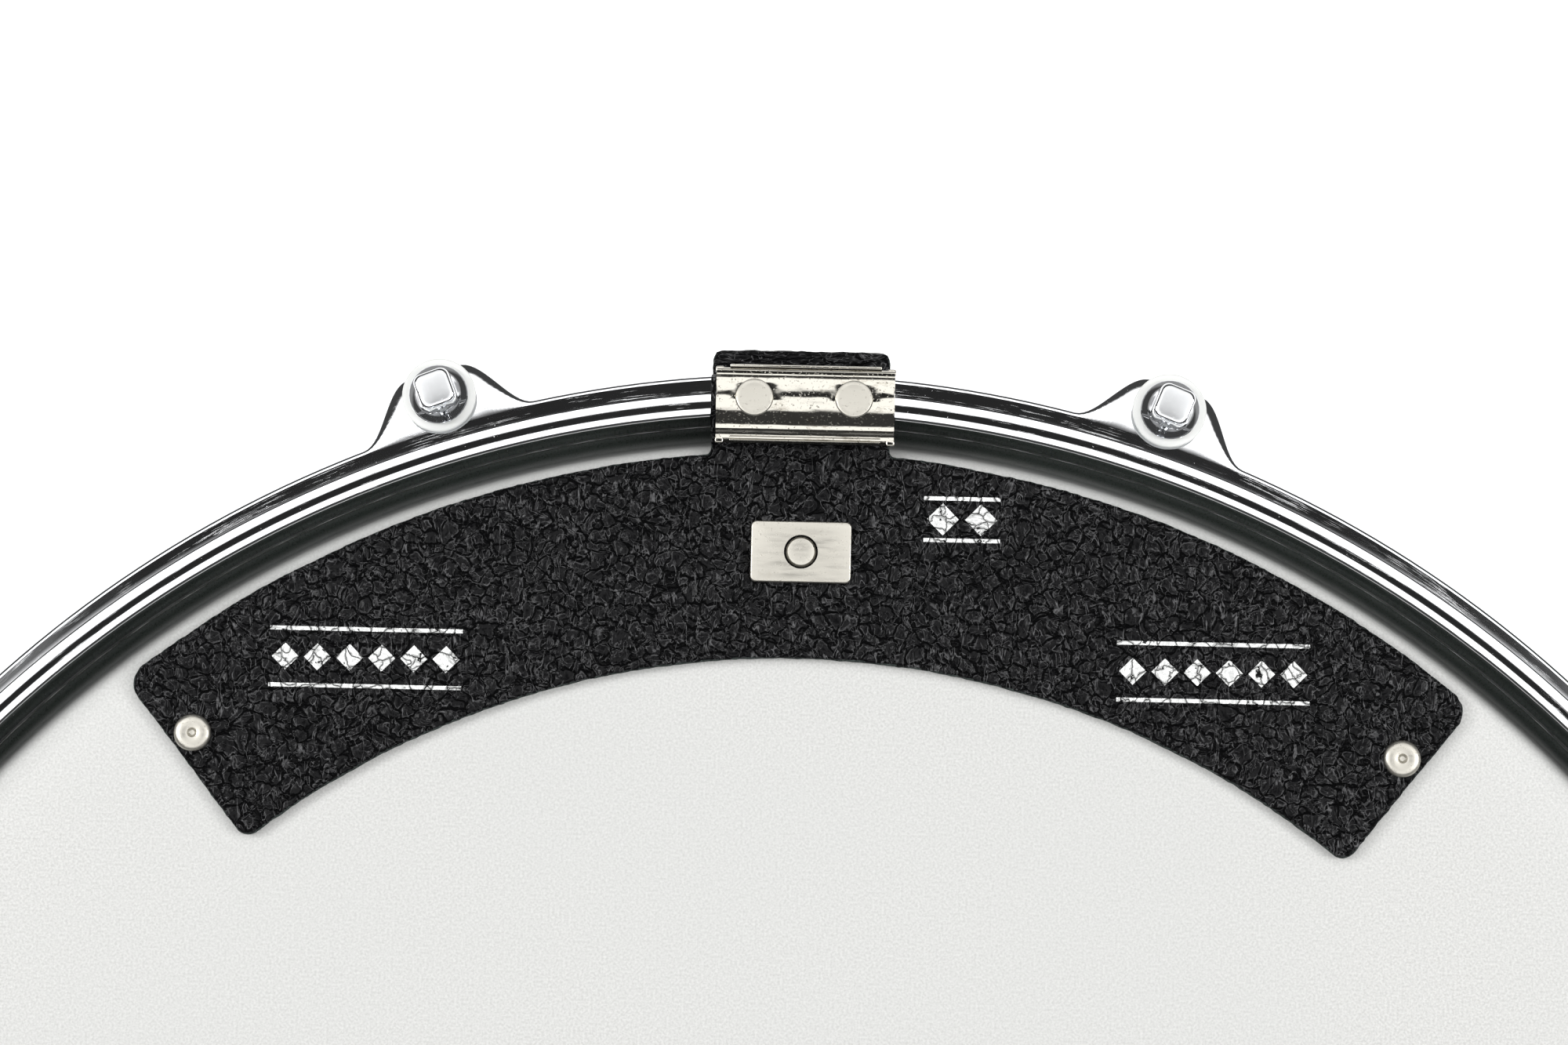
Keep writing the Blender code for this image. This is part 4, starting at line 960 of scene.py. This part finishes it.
def make_strainer():
    low, high = node_box("strainer_base")
    back, front = 177.4 * MM, 182.4 * MM
    outline = rectangle(low.x, low.z, high.x, high.z, 7 * MM, steps=8)
    shapes = [standing(outline, back, front, 1.4 * MM, -1)]
    for x0, x1 in ((low.x + 0.3 * MM, -13 * MM), (13 * MM, high.x - 0.3 * MM)):
        rail = rectangle(x0, -40.5 * MM, x1, -4 * MM, 1.5 * MM)
        shapes.append(standing(rail, front - 1 * MM, front + 6.6 * MM, 0.7 * MM, -1))
    pivot_z = 8 * MM
    shapes.append(turned_out([(3 * MM, front - 1 * MM), (3 * MM, front + 11 * MM)], 0, pivot_z, -1, 24))
    piece("strainer_frame", merged(*shapes), PART_CHROME, "drum", BATTER, ("strainer_base",))

    low, high = node_box("strainer_carriage")
    near, far = -high.y, -low.y
    slider = standing(rectangle(low.x, low.z, high.x, high.z, 2 * MM), near, far, 0.8 * MM, -1)
    ribs = [standing(rectangle(-9 * MM, z - 0.7 * MM, 9 * MM, z + 0.7 * MM, 0.6 * MM), far - 0.6 * MM,
                     far + 0.5 * MM, 0.3 * MM, -1) for z in (-9.5 * MM, -12.5 * MM, -15.5 * MM)]
    piece("strainer_slider", merged(slider, *ribs), PART_CHROME, "carriage", BATTER,
          ("strainer_carriage",))
    bar, screws = clamp_shapes("throw_off_clamp", -1)
    piece("throw_off_clamp_bar", bar, PART_CHROME, "carriage", BATTER, ("throw_off_clamp",))
    piece("throw_off_clamp_screws", merged(*screws), STEEL, "carriage", BATTER)

    low, high = node_box("strainer_lever")
    near, far = -high.y, -low.y
    hub = rounded([(3.3 * MM, near), (7.6 * MM, near), (8 * MM, near + 1 * MM), (8 * MM, far - 1 * MM),
                   (6.8 * MM, far), (3.3 * MM, far)], [r * MM for r in (0, 0.3, 0.5, 1, 0.6, 0)], steps=4)
    hub = turned_out(hub, 0, pivot_z, -1, 48)
    top = high.z - 6 * MM
    blade = rounded([(-5.4 * MM, pivot_z - 1 * MM), (5.4 * MM, pivot_z - 1 * MM), (4.0 * MM, top - 8 * MM),
                     (6.0 * MM, top), (6.0 * MM, high.z), (-6.0 * MM, high.z), (-6.0 * MM, top),
                     (-4.0 * MM, top - 8 * MM)], [r * MM for r in (1, 1, 8, 8, 5.6, 5.6, 8, 8)], steps=7)
    arm = standing(blade, far - 3.4 * MM, far, 1.2 * MM, -1)
    piece("throw_off_lever", merged(hub, arm), PART_CHROME, "lever", BATTER, ("strainer_lever",))
    low, high = node_box("lever_screw")
    cap = turned_out([(1.5 * MM, far - 8 * MM), (1.5 * MM, far + 0.2 * MM), (5 * MM, far + 0.3 * MM),
                      (5 * MM, far + 0.9 * MM), (4.3 * MM, -low.y - 0.2 * MM), (3.4 * MM, -low.y),
                      (2.2 * MM, -low.y), (2.0 * MM, -low.y - 0.7 * MM)], 0, pivot_z, -1, 32)
    piece("lever_pivot_screw", cap, STEEL, "drum", BATTER, ("lever_screw",))

    low, high = node_box("tension_knob")
    ridges = 22
    radius = (high.x - low.x) / 2
    rings = []
    for depth, z in ((2.2, 0), (0.6, 0.15), (0.0, 0.9), (0.0, 10.0), (0.6, 10.8), (2.2, 11.0)):
        ring = []
        for k in range(ridges * 4):
            # four points a ridge: high, half, low, half
            knurl = 0.35 * MM * (0.5 + 0.5 * math.cos(2 * math.pi * k / 4)) if 0.5 < z < 10.5 else 0
            r = radius - depth * MM - 0.02 * MM - knurl
            t = 2 * math.pi * k / (ridges * 4)
            ring.append((r * math.cos(t), r * math.sin(t), z * MM))
        rings.append(ring)
    stem = lathe([(1.6 * MM, -2.2 * MM), (1.6 * MM, 0.5 * MM)], 16)
    place = BATTER @ Matrix.Translation((0, (low.y + high.y) / 2, low.z))
    piece("knurled_knob", merged(loft(rings), stem), PART_CHROME, "knob", place, ("tension_knob",))


# ---------------------------------------------------------------- damper

LEAF_HALF_ANGLE = math.radians(38.65)
LEATHER_THICK = 2.1 * MM
STRAP_X = -0.5 * MM
STRAP_HALF = 14.5 * MM


def corner_bite(from_end, corner):
    """How much a rounded corner takes off a side, at this distance from the end."""
    inside = min(from_end, corner)
    return corner - math.sqrt(corner**2 - (corner - inside) ** 2)


def leaf_radii(angle):
    """Inner and outer distance from the drum's axis at this angle: arcs, with rounded corners at the ends."""

    def arc(radius, centre):
        return centre * math.cos(angle) + math.sqrt(radius**2 - (centre * math.sin(angle)) ** 2)

    inner, outer = arc(141.3 * MM, 0.6 * MM), arc(170.2 * MM, 5.4 * MM)
    from_end = (LEAF_HALF_ANGLE - abs(angle)) * (inner + outer) / 2
    return inner + corner_bite(from_end, 2.2 * MM), outer - corner_bite(from_end, 3.4 * MM)


def leaf_shape(low, high):
    """The leaf as a solid of quads between its two faces."""
    ends = [1 - math.cos(math.pi / 2 * k / 8) for k in range(9)]
    tip = math.radians(2.2)
    angles = [-LEAF_HALF_ANGLE + tip * e for e in ends]
    angles += list(np.linspace(-LEAF_HALF_ANGLE + tip, LEAF_HALF_ANGLE - tip, 90))[1:-1]
    angles += [LEAF_HALF_ANGLE - tip * e for e in ends[::-1]]
    rings = []
    for angle in angles:
        inner, outer = leaf_radii(angle)
        rings.append([(r * math.sin(angle), r * math.cos(angle), z)
                      for r, z in ((inner, low), (outer, low), (outer, high), (inner, high))])
    return loft(rings)


def strap_path(middle):
    """The strap's middle line in (y, z): out of the leaf, up inside the rim, over it, and down to a tab."""
    over = RIM_TOP + 0.35 * MM + LEATHER_THICK / 2
    inner_y, outer_y = 178.4 * MM, 186.1 * MM
    return rounded(
        [(168 * MM, middle), (177.2 * MM, middle + 0.1 * MM), (inner_y, middle + 3.5 * MM), (inner_y, over),
         (outer_y, over), (outer_y, FLANGE_TOP + 3.2 * MM), (192.3 * MM, FLANGE_TOP + 2.0 * MM)],
        [r * MM for r in (0, 2.4, 2.5, 1.1, 1.1, 2.0, 0)], closed=False, steps=6,
    )


def remeshed(shape, voxel):
    """One even skin over overlapping shapes."""
    obj = bpy.data.objects.new("rough", mesh_of("rough", shape))
    bpy.context.scene.collection.objects.link(obj)
    step = obj.modifiers.new("even", "REMESH")
    step.mode = "VOXEL"
    step.voxel_size = voxel
    smooth = obj.modifiers.new("soften", "SMOOTH")
    smooth.iterations = 2
    smooth.factor = 0.5
    bpy.context.view_layer.update()
    graph = bpy.context.evaluated_depsgraph_get()
    mesh = bpy.data.meshes.new_from_object(obj.evaluated_get(graph))
    bpy.data.objects.remove(obj)
    return mesh


def grained_leather(shape):
    """Leather from a rough shape: softly uneven, with ragged cut edges, pressed flat under the clip."""
    mesh = remeshed(shape, 0.5 * MM)
    mesh.shade_smooth()
    for material in (LEATHER, SUEDE):
        mesh.materials.append(material)
    points = [v.co.copy() for v in mesh.vertices]
    normals = [n.vector.copy() for n in mesh.vertex_normals]
    rest = mesh.attributes.new("rest", "FLOAT_VECTOR", "POINT")
    tab = 186.5 * MM
    for k, (point, normal) in enumerate(zip(points, normals)):
        # the grain's own coordinates: where the point is, but with wider pebbles on the tab
        pulled = min(max((point.y - tab) / (2 * MM), 0), 1)
        rest.data[k].vector = (point.x * (1 - 0.5 * pulled), point.y + (point.y - tab) * 0.4 * pulled,
                               point.z)
        swell = noise.noise(point * 90) * 0.12 * MM
        pimple = noise.noise(point * 420) * 0.05 * MM
        ragged = noise.noise(point * 900) * 0.16 * MM
        cut = (1 - abs(normal.z)) * (point.z < LEAF_LOW + 3 * MM)
        grown = point + normal * (swell + pimple + ragged * cut)
        if 176.2 * MM < grown.y < 188.8 * MM and grown.z > LEAF_LOW + LEATHER_THICK + 0.5 * MM:
            grown.z = min(grown.z, clip_height(grown.y) - 0.75 * MM)
        mesh.vertices[k].co = grown
    mesh.update()
    return mesh


def make_leather():
    low = LEAF_LOW
    middle = low + LEATHER_THICK / 2
    outline = ribbon(strap_path(middle), LEATHER_THICK / 2)
    tab_end = 189 * MM
    rings = []
    for x in STRAP_X + STRAP_HALF * np.sin(np.linspace(-math.pi / 2, math.pi / 2, 40)):
        bite = corner_bite(STRAP_HALF - abs(x - STRAP_X), 1.6 * MM)
        rings.append([(x, y - bite * (y > tab_end), z) for y, z in outline])
    strap = loft(rings)
    mesh = grained_leather(merged(leaf_shape(low, low + LEATHER_THICK), strap))

    def is_suede(face):
        """Whether a face is on a cut side of the leaf or the strap, or under the leaf."""
        x, y, z = face.center
        angle = math.atan2(x, y)
        outer = leaf_radii(angle)[1] if abs(angle) < LEAF_HALF_ANGLE else 0
        if z > low + LEATHER_THICK + 0.3 * MM or math.hypot(x, y) > outer + 1 * MM:
            return abs(face.normal.x) > 0.7 and abs(x - STRAP_X) > STRAP_HALF - 1 * MM
        return face.normal.z < 0.6

    for face in mesh.polygons:
        face.material_index = int(is_suede(face))
    mesh.transform(BATTER)
    obj = bpy.data.objects.new("damper_leather", mesh)
    bpy.context.scene.collection.objects.link(obj)
    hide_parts("damper_leaf", "damper_strap")
    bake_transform(obj)


def rivet_shape(radius, height, dimple):
    """A rivet's cap on z = 0: a rolled rim round a slightly hollow middle."""
    profile = [(0.05 * MM, height - dimple), (radius * 0.4, height - dimple),
               (radius * 0.72, height - dimple * 0.5), (radius * 0.86, height),
               (radius * 0.95, height * 0.85), (radius, height * 0.45), (radius * 0.97, 0)]
    return lathe(profile[::-1], 48)


def make_damper_metal():
    leaf_top = LEAF_LOW + LEATHER_THICK + 0.05 * MM
    for name, node in (("left_end_cap", "end_rivet_left"), ("right_end_cap", "end_rivet_right")):
        low, high = node_box(node)
        centre = ((low.x + high.x) / 2, (low.y + high.y) / 2, leaf_top)
        dome = [(0.05, 0.3), (0.4, 0.32), (0.62, 0.5), (0.8, 0.76), (1.1, 0.84), (1.8, 0.86), (2.4, 0.8),
                (2.8, 0.58), (3.0, 0.25), (3.02, -0.05)]
        shape = lathe([(r * MM, (z + 0.05) * MM) for r, z in dome][::-1], 48)
        piece(name, shape, NICKEL, "leaf", BATTER @ Matrix.Translation(centre), (node,))

    low, high = node_box("steel_plate")
    middle_y = (low.y + high.y) / 2
    outline = rectangle(low.x, low.y, high.x, high.y, 0.9 * MM)
    plate = slab(outline, leaf_top, leaf_top + 1.5 * MM, 0.25 * MM)
    hole = moved(lathe(mm((2.75, -2), (2.75, 5)), 40), Matrix.Translation((0, middle_y, leaf_top)))
    mesh = cut(mesh_of("damper_plate", plate), [hole])
    piece("damper_plate", mesh, NICKEL, "leaf", BATTER, ("steel_plate",))
    cap = rivet_shape(2.5 * MM, 1.75 * MM, 0.12 * MM)
    piece("damper_plate_rivet", cap, NICKEL, "leaf",
          BATTER @ Matrix.Translation((0, middle_y, leaf_top)), ("plate_rivet",))


# The clip's section as (y, height under its top) in millimetres: bead, groove, arch over the rim, bead
CLIP_SECTION = (
    (188.0, -1.35), (187.95, -0.62), (187.4, -0.5), (187.1, -0.68), (186.35, -0.34), (184.5, -0.03),
    (184.0, 0.0), (183.55, -0.02), (181.8, -0.5), (180.9, -0.9), (178.95, -2.15), (178.15, -2.37),
    (177.75, -2.95), (176.85, -3.3),
    (176.5, -3.4), (176.3, -4.6),
)
CLIP_RIVETS = [(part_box(node)[0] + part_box(node)[1]) / 2 for node in ("clip_rivet_left", "clip_rivet_right")]
CLIP_RIVET_Y = 183.2 * MM


def near(distance, spread):
    """1 at no distance, falling smoothly away."""
    return math.exp(-((distance / spread) ** 2))


def clip_height(y):
    """The clip's height above the shell's middle at y."""
    section = CLIP_SECTION[::-1]
    return CLIP_TOP + np.interp(y, [a * MM for a, _ in section], [b * MM for _, b in section])


def make_clip():
    """A spring clip: a bent sheet over the strap, with a narrower sheet's lips showing at both sides."""
    thick = 0.6 * MM
    half_width = 14.35 * MM
    seat = CLIP_TOP - 0.22 * MM
    steps = np.linspace(188.0 * MM, 176.3 * MM, 110)
    spread = np.linspace(-0.3 * MM, 0.3 * MM, 7)
    rings = []
    for x in np.linspace(-half_width, half_width, 80):
        ends = (abs(x) / half_width) ** 8
        waist = near(x, 5.5 * MM)
        top = []
        for y in steps:
            height = float(np.mean(clip_height(y + spread)))
            sunk = 0.0
            for rivet in CLIP_RIVETS:
                away = math.hypot(x - rivet.x, y - CLIP_RIVET_Y)
                sunk = max(sunk, min(max((4.9 * MM - away) / (2.6 * MM), 0), 1))
            sunk = sunk * sunk * (3 - 2 * sunk)
            height += (min(height, seat) - height) * sunk
            height -= 0.1 * MM * waist * near(y - 184.0 * MM, 1.1 * MM)
            height -= 0.12 * MM * ends + 0.02 * MM * noise.noise(Vector((x * 400, y * 900, 0)))
            notch = 0.22 * MM * near(y - 184.2 * MM, 0.7 * MM) * ends * math.copysign(1, x)
            top.append((x + 0.2 * MM - notch, y, height))
        rings.append(top + [(x, y, z - thick) for x, y, z in top[::-1]])
    piece("spring_clip", loft(rings), CLIP_NICKEL, "clip", BATTER, ("damper_clip",), sharp=60)
    lips = []
    lip_half = 12.2 * MM
    for y0, y1, drop in ((188.15, 188.6, 0.9), (177.1, 177.35, 3.05), (176.5, 176.75, 3.25)):
        outline = rectangle(-lip_half, y0 * MM, lip_half, y1 * MM, 0.15 * MM, steps=2)
        lips.append(slab(outline, CLIP_TOP - (drop + 1.2) * MM, CLIP_TOP - drop * MM, 0.12 * MM))
    for x in (-13.8, 13.8):
        for y in (176.6, 187.75):
            outline = rectangle((x - 0.7) * MM, (y - 0.5) * MM, (x + 0.7) * MM, (y + 0.55) * MM, 0.3 * MM)
            drop = 3.3 if y < 180 else 1.35
            lips.append(slab(outline, CLIP_TOP - (drop + 1) * MM, CLIP_TOP - drop * MM, 0.2 * MM))
    place = BATTER @ Matrix.Translation((0.2 * MM, 0, 0))
    piece("clip_lips", merged(*lips), CLIP_NICKEL, "clip", place)
    tilt = Matrix.Rotation(math.radians(-4), 4, "X")
    for side, rivet in zip(("left", "right"), CLIP_RIVETS):
        place = BATTER @ Matrix.Translation((rivet.x, CLIP_RIVET_Y, CLIP_TOP - 0.5 * MM)) @ tilt
        disc = rivet_shape(3.05 * MM, 0.62 * MM, 0.05 * MM)
        piece(f"{side}_clip_rivet", disc, NICKEL, "clip", place, (f"clip_rivet_{side}",))


# ---------------------------------------------------------------- stage


def make_stage():
    """A floor, a sky with a bright ring round a dark ceiling, and a soft light from each side."""
    half = 6
    square = [(-half, -half, 0), (half, -half, 0), (half, half, 0), (-half, half, 0)]
    floor = bpy.data.objects.new("floor", mesh_of("floor", (square, [(0, 1, 2, 3)])))
    floor.data.materials.append(floor_material("floor"))
    floor.location.z = -0.5 * MM
    bpy.context.scene.collection.objects.link(floor)

    world = bpy.data.worlds.new("studio")
    bpy.context.scene.world = world
    world.use_nodes = True
    tree = world.node_tree
    background = tree.nodes["Background"]
    direction = tree.nodes.new("ShaderNodeTexCoord")
    split = tree.nodes.new("ShaderNodeSeparateXYZ")
    bands = tree.nodes.new("ShaderNodeValToRGB")
    tree.links.new(direction.outputs["Generated"], split.inputs[0])
    tree.links.new(split.outputs["Z"], bands.inputs[0])
    tree.links.new(bands.outputs["Color"], background.inputs["Color"])
    bands.color_ramp.interpolation = "EASE"
    # The brightness at each height of the sky, which the chrome and nickel reflect as bands
    horizon, room, ring, ceiling = 0.16, 0.03, 1.0, 0.012
    stops = ((0.0, horizon), (0.12, horizon), (0.2, room), (0.68, room), (0.76, ring), (0.961, ring),
             (0.981, ceiling), (1.0, ceiling))
    while len(bands.color_ramp.elements) < len(stops):
        bands.color_ramp.elements.new(0.5)
    for element, (position, value) in zip(bands.color_ramp.elements, stops):
        element.position = position
        element.color = (value, value, value, 1)
    background.inputs["Strength"].default_value = 1.85

    damper = Vector((0, 0.1, 0.1))
    for name, spot, watts in (("left", (-1.15, 0.3, 1.2), 9), ("right", (1.15, 0.1, 1.15), 8)):
        data = bpy.data.lights.new(name, "AREA")
        data.size = 0.5
        data.energy = watts
        lamp = bpy.data.objects.new(name, data)
        lamp.location = spot
        lamp.rotation_euler = (damper - Vector(spot)).to_track_quat("-Z", "Y").to_euler()
        bpy.context.scene.collection.objects.link(lamp)


def make_camera():
    """The photograph's view: from over the batter head, looking at the damper."""
    data = bpy.data.cameras.new("camera")
    data.lens = 88.0
    data.sensor_width = 36
    camera = bpy.data.objects.new("camera", data)
    camera.location = (0.1 * MM, 103.1 * MM, MIDDLE + FLANGE_TOP + 623.8 * MM)
    camera.rotation_euler = (math.radians(5.62), math.radians(0.15), math.radians(1.25))
    bpy.context.scene.collection.objects.link(camera)
    bpy.context.scene.camera = camera
    bpy.context.scene.view_settings.view_transform = "Standard"


make_camera()
make_stage()
make_shell()
make_heads()
make_hoops()
make_rods()
make_lugs()
make_snares()
make_butt()
make_strainer()
make_leather()
make_damper_metal()
make_clip()
